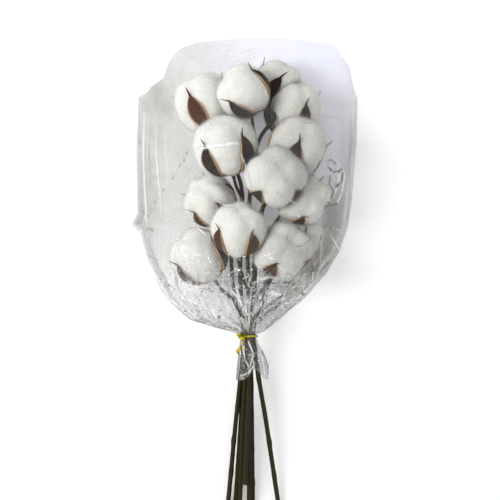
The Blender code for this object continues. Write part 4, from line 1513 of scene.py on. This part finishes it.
# Each boll's middle, radius, the ways its top and its first valve face, and its number of locks
BOLLS = (
    Boll("top_left", (-0.0385, 0.0915, 0.037), 0.0285, (-0.38, 0.90, -0.05), (-0.45, 0.0, 0.90), 4,
         Capsule.RUDDY),
    Boll("top", (-0.0010, 0.1010, 0.068), 0.0250, (-0.72, 0.58, 0.25), (-0.33, -0.69, 0.65), 3,
         Capsule.DUSTY),
    Boll("top_right", (0.0445, 0.0855, 0.036), 0.0282, (0.15, 0.93, 0.20), (0.45, 0.0, 0.88), 4),
    Boll("upper_left", (-0.0195, 0.0495, 0.070), 0.0297, (-0.25, 0.90, 0.32), (0.62, 0.20, 0.72), 4),
    Boll("upper_right", (0.0475, 0.0500, 0.062), 0.0285, (0.40, 0.85, 0.25), (0.15, 0.20, 0.95), 4),
    Boll("middle", (0.0285, 0.0215, 0.083), 0.0295, (0.13, 0.30, 0.94), (-0.60, -0.60, 0.33), 4),
    Boll("right", (0.0525, 0.0010, 0.055), 0.0260, (0.40, 0.30, 0.87), (0.91, -0.41, 0.0), 5, Capsule.TAN),
    Boll("left", (-0.0325, -0.0025, 0.045), 0.0252, (-0.45, 0.60, 0.60), (0.85, 0.50, 0.10), 5, Capsule.TAN),
    Boll("lower", (-0.0065, -0.0295, 0.079), 0.0262, (0.0, 0.80, 0.60), (0.57, -0.50, 0.65), 4, Capsule.TAN),
    Boll("bottom_left", (-0.0445, -0.0560, 0.040), 0.0275, (-0.56, 0.77, 0.30), (0.79, 0.39, 0.48), 3),
    Boll("bottom_right", (0.0345, -0.0500, 0.064), 0.0268, (0.38, 0.45, 0.80), (0.80, -0.50, 0.0), 4,
         Capsule.TAN),
    Boll("back_top", (0.0270, 0.1085, 0.029), 0.0250, (0.58, 0.80, 0.0), (0.0, 0.0, 1.0), 4),
    Boll("back_low", (0.0500, -0.0330, 0.029), 0.0232, (0.30, 0.90, 0.20), (0.20, -0.20, 0.95), 4),
)

# Each stem's foot, its slot in the tie, the points it runs through, and the bolls it carries
STEMS = (
    CutStem("stem_left", (-0.0186, -0.305, 0.0024), (-1.0, 0.0),
            ((-0.010, -0.098, 0.029), (-0.014, -0.060, 0.020)), "left", 0, (), "bottom_left"),
    CutStem("stem_upper_left", (-0.0062, -0.296, 0.0072), (-0.5, 0.866),
            ((-0.0045, -0.098, 0.0410), (-0.0055, -0.050, 0.0435), (-0.0035, 0.002, 0.048),
             (-0.008, 0.025, 0.038), (-0.017, 0.042, 0.031)), "top_left", 2, (), "upper_left"),
    CutStem("stem_centre", (0.0032, -0.301, 0.0072), (0.0, 0.0),
            ((0.0035, -0.095, 0.043), (0.0015, -0.050, 0.0455), (0.0035, 0.000, 0.0445),
             (0.007, 0.038, 0.045), (0.014, 0.060, 0.053)), "top", 3, ((0.009, 0.056, 0.033),), "back_top"),
    CutStem("stem_upper_right", (0.0066, -0.309, 0.0024), (0.5, -0.866),
            ((0.0075, -0.095, 0.0325), (0.010, -0.050, 0.0350), (0.016, -0.008, 0.033),
             (0.026, 0.024, 0.028), (0.034, 0.040, 0.026)), "top_right", 2, ((0.0215, 0.009, 0.037),),
            "upper_right"),
    CutStem("stem_front", (-0.0013, -0.2726, 0.0190), (0.5, 0.866),
            ((0.0055, -0.100, 0.050), (0.008, -0.060, 0.052), (0.011, -0.025, 0.0455)), "middle",
            0, ((-0.001, -0.080, 0.054),), "lower"),
    CutStem("stem_right", (0.0335, -0.308, 0.0024), (1.0, 0.0),
            ((0.016, -0.100, 0.034), (0.025, -0.060, 0.024), (0.027, -0.026, 0.017)), "right",
            0, (), "bottom_right"),
    CutStem("stem_low", (-0.0106, -0.300, 0.0024), (-0.5, -0.866),
            ((0.0055, -0.102, 0.0235), (0.022, -0.078, 0.0195)), "back_low"),
)

TIE_MIDDLE = (0.0024, -0.130, 0.033)

# Edges of the sleeve seen from above, as (y, x on the left, x on the right)
OUTLINE = (
    (-0.172, -0.0090, 0.0210), (-0.158, -0.0079, 0.0212), (-0.146, -0.0068, 0.0165),
    (-0.136, -0.0060, 0.0116), (-0.1318, -0.0056, 0.0104), (-0.128, -0.0056, 0.0104),
    (-0.1245, -0.0165, 0.0190), (-0.1195, -0.037, 0.0245), (-0.114, -0.054, 0.031),
    (-0.100, -0.070, 0.047), (-0.085, -0.082, 0.063), (-0.071, -0.088, 0.076),
    (-0.049, -0.096, 0.089), (-0.030, -0.101, 0.096), (-0.023, -0.1095, 0.098),
    (-0.012, -0.1040, 0.0995), (-0.002, -0.104, 0.101),
    (0.056, -0.105, 0.106), (0.101, -0.103, 0.107),
)
# Height of the front, of the side seams and of the underside, at each y
HEIGHTS = (
    (-0.172, 0.036, 0.026, 0.016), (-0.158, 0.0375, 0.028, 0.0185), (-0.146, 0.039, 0.030, 0.021),
    (-0.136, 0.0408, 0.0322, 0.0240), (-0.1318, 0.0410, 0.033, 0.0250), (-0.128, 0.0411, 0.033, 0.0249),
    (-0.1245, 0.0490, 0.0328, 0.0195), (-0.1195, 0.059, 0.0325, 0.0138), (-0.114, 0.068, 0.032, 0.0100),
    (-0.100, 0.083, 0.030, 0.0040), (-0.085, 0.095, 0.028, 0.0008), (-0.071, 0.104, 0.027, 0.0),
    (-0.049, 0.112, 0.026, 0.0), (-0.023, 0.116, 0.025, 0.0), (-0.002, 0.1185, 0.024, 0.0),
    (0.056, 0.114, 0.020, 0.0), (0.101, 0.104, 0.013, 0.0),
)
# The mouth's edge at the back, as (share of the way from the middle to a seam, x, y)
BACK_EDGE = (
    (-1.0, -0.103, 0.101), (-0.85, -0.080, 0.118), (-0.74, -0.0735, 0.135), (-0.66, -0.064, 0.146),
    (-0.5, -0.047, 0.152),
    (0.0, 0.002, 0.157), (0.5, 0.052, 0.155), (0.8, 0.085, 0.150), (0.93, 0.0995, 0.129),
    (1.0, 0.107, 0.101),
)
# Creases by their ends on the plan in millimetres, width, height and whiteness (white as whitening and a
# painted glint, below 0 a painted shade line), besides the random ones
CREASES = (
    Crease((-42, 47), (-7, 52), 4.0, 1.2, 1.0),
    Crease((-38, 50), (-9, 53), 2.2, 0.8, 0.9),
    Crease((-5, 43), (1, 27), 2.6, 1.3, 0.8),
    Crease((1, 28), (5, 10), 3.2, 1.6, 0.9),
    Crease((28, 6), (55, -9), 2.4, 1.1, 0.7),
    Crease((31, -13), (55, -9), 2.6, 1.3, 0.9),
    Crease((33, 9), (31, -12), 2.4, 0.9, 0.3),
    Crease((65, -57), (61, -79), 2.4, 1.2, 0.8),
    Crease((61, -79), (41, -93), 2.6, 1.2, 0.8),
    Crease((79, -33), (90, -50), 2.2, 1.2, 0.9),
    Crease((-23, -5), (-12, -6), 2.2, 1.3, 0.8),
    Crease((-46, -25), (-37, -33), 2.4, 1.3, 0.8),
    Crease((-14, 134), (-12, 150), 2.6, 1.2, 0.7, True),
    Crease((-12, 136), (9, 148), 3.0, 1.4, 0.7, True),
    Crease((-20, 147), (-15, 137), 2.6, 1.2, 1.0, True),
    Crease((8, 146), (5, 134), 2.6, 1.2, 0.9, True),
    Crease((-18, 149), (-8, 151), 2.4, 0.8, 0.9, True),
    *Crease.along(((70, 37), (66, 28), (62, 22)), 2.0, 0.8, -0.8),
    *Crease.along(((76, 36), (81, 37), (85, 33)), 2.2, 0.9, -0.9),
    *Crease.along(((77, 31), (80, 27), (86, 26), (90, 29)), 2.4, 1.0, -0.8),
    *Crease.along(((91, 25), (90, 17), (84, 12)), 2.2, 1.0, -0.9),
    *Crease.along(((79, 22), (78, 14), (82, 8), (80, 1)), 2.4, 1.0, -0.8),
    *Crease.along(((76, -2), (80, -5), (86, -4)), 2.2, 1.0, -0.6),
    *Crease.along(((80, 33), (79, 24), (84, 18)), 2.4, 1.0, 1.0),
    *Crease.along(((86, 31), (88, 21), (83, 5)), 2.4, 1.0, 0.9),
    *Crease.along(((86, 35), (93, 24), (90, 6), (84, -6)), 2.4, 1.2, 0.9),
    *Crease.along(((83, 25), (87, 22), (86, 17)), 2.0, 0.9, 1.0),
    *Crease((-54, 44), (-60, 33), 2.0, 0.8, -0.9).beads(5),
    *Crease((-60, 33), (-100, -24), 2.0, 0.8, -0.7).beads(15),
    Crease((-97, 90), (-94, -38), 3.0, 0.9, 0.5),
    Crease((-90, 82), (-89, 6), 3.0, 0.9, -0.25),
    Crease((-83, 70), (-80, -20), 3.0, 0.9, 0.45),
    Crease((-74, 62), (-71, 8), 2.6, 0.8, 0.35),
    Crease((100, 84), (97, -20), 2.6, 0.8, -0.35),
    Crease((93, 96), (91, 40), 2.6, 0.8, 0.4, True),
    Crease((72, 81), (106, 77), 2.6, 0.8, 0.35, True),
    Crease((71, -28), (70, -62), 2.6, 1.1, 0.6),
    *Crease.along(((46, -45), (55, -43), (63, -35), (68, -34)), 2.4, 1.1, 0.8),
    *Crease.along(((11, -73), (21, -70), (31, -75)), 3.4, 1.2, 0.9),
    *Crease.along(((12, -77), (31, -79), (44, -76)), 2.4, 1.0, -0.8),
    *Crease.along(((13, -90), (15, -103), (11, -118)), 2.4, 1.2, 1.0),
    *Crease.along(((2, -134), (7, -146), (4, -158)), 1.8, 0.5, 0.9),
    *Crease.along(((-3, -138), (-1, -152), (3, -160)), 1.8, 0.5, 0.7),
    *Crease.along(((-5, -167), (2, -165), (7, -158)), 1.8, 0.4, 0.9),
    *Crease.along(((11, -134), (15, -146), (18, -166)), 1.8, 0.5, 0.7),
    *Crease.along(((9, -136), (12, -150), (14, -168)), 1.8, 0.5, -0.5),
    *Crease.along(((19, -92), (17, -106), (12, -119)), 2.2, 1.0, 0.8),
    *Crease.along(((-19, -86), (-9, -100), (0, -117)), 2.6, 1.0, -0.8),
    *Crease.along(((-14, -84), (-5, -96), (2, -112)), 2.2, 1.0, 0.9),
    *Crease.along(((30, -97), (44, -95), (58, -84)), 2.4, 1.0, 0.7),
    *Crease.along(((-90, -63), (-72, -95), (-50, -112)), 2.6, 1.0, 0.7),
    *Crease.along(((-60, -92), (-36, -104), (-12, -121)), 2.4, 1.0, 0.7),
)

# Patches of film that show milky, and patches of painted shade and painted white glare, on the plan in
# millimetres
HAZES_AND_PAINTED_LIGHT = (
    # Grey patch along the right edge: painted shade where the light falls off to the right
    HazeAndPaintedLight((110, 10), (16, 85), 0.40),
    # Painted white glare on the back film at the top
    HazeAndPaintedLight((-16, 143), (4, 6), 0.35, 0.4, 0.7),
    HazeAndPaintedLight((2, 138), (8, 4), 0.30, 0.2, 1.0),
    HazeAndPaintedLight((85, 20), (9, 16), 0.12, 0.6, 0.3, False),
    # Grey patches at the right and low right: painted shade seen through the film
    HazeAndPaintedLight((82, -12), (11, 26), 0.42),
    HazeAndPaintedLight((76, -64), (26, 26), 0.57),
    HazeAndPaintedLight((45, -98), (26, 18), 0.30),
    HazeAndPaintedLight((-98, 0), (16, 90), 0.20),
    # Painted shade on the top boll
    HazeAndPaintedLight((7, 82), (24, 9), 0.40, back=False, dark=True),
    HazeAndPaintedLight((18, -160), (5, 14), 0.40, 0.6, 0.3, False),
    HazeAndPaintedLight((-84, 98), (18, 26), 0.20),
    HazeAndPaintedLight((-70, -80), (42, 42), -0.10, 0.8, 0.3),
    HazeAndPaintedLight((2, 140), (20, 22), -0.03, 0.2, 0.2),
    # Painted shade on the bolls at the right and lower right
    HazeAndPaintedLight((40, 42), (34, 40), 0.30, back=False, dark=True),
    HazeAndPaintedLight((38, -48), (30, 22), 0.30, back=False, dark=True),
    HazeAndPaintedLight((21, -98), (14, 18), 0.34, 0.5, 0.4, False),
    HazeAndPaintedLight((-46, -95), (32, 24), 0.22, 0.3, 0.7, False),
)


def place(piece: Piece, slot: str, *nodes: str) -> None:
    """Puts a finished piece on the part, in place of the plain solids it stands for."""
    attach(piece, "root")
    if nodes:
        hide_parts(*nodes)
    log.info("%s: %d faces", piece.name, len(piece.data.polygons))


def main() -> None:
    """Builds the bunch and its studio."""
    logging.basicConfig(level=logging.INFO, format="%(message)s")
    lint, fibre = CottonLint().material(), LooseFibre().material()
    capsules = {kind: kind.value.material() for kind in Capsule}
    burs = {boll.name: Bur(boll, BOLLS) for boll in BOLLS}
    for boll in BOLLS:
        cloud, fibres = Lint(boll, BOLLS).build(lint, fibre)
        place(cloud, "cotton", f"cotton_{boll.name}")
        place(fibres, "cotton")
        place(burs[boll.name].build(capsules[boll.capsule]), "bur", f"bur_{boll.name}")
    bark = DriedBark().material()
    for stem in STEMS:
        place(stem.build(burs, np.array(TIE_MIDDLE), bark), "stem", stem.name)
    place(TwistTie(TIE_MIDDLE).build(FoilTie().material()), "tie", "twist_tie")
    film = FilmSleeve(OUTLINE, HEIGHTS, BACK_EDGE, CREASES, HAZES_AND_PAINTED_LIGHT).build(ClearFilm().material())
    place(film, "film", "sleeve")
    Studio().build(StudioPaper().material())
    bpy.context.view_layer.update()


if __name__ == "__main__":
    main()
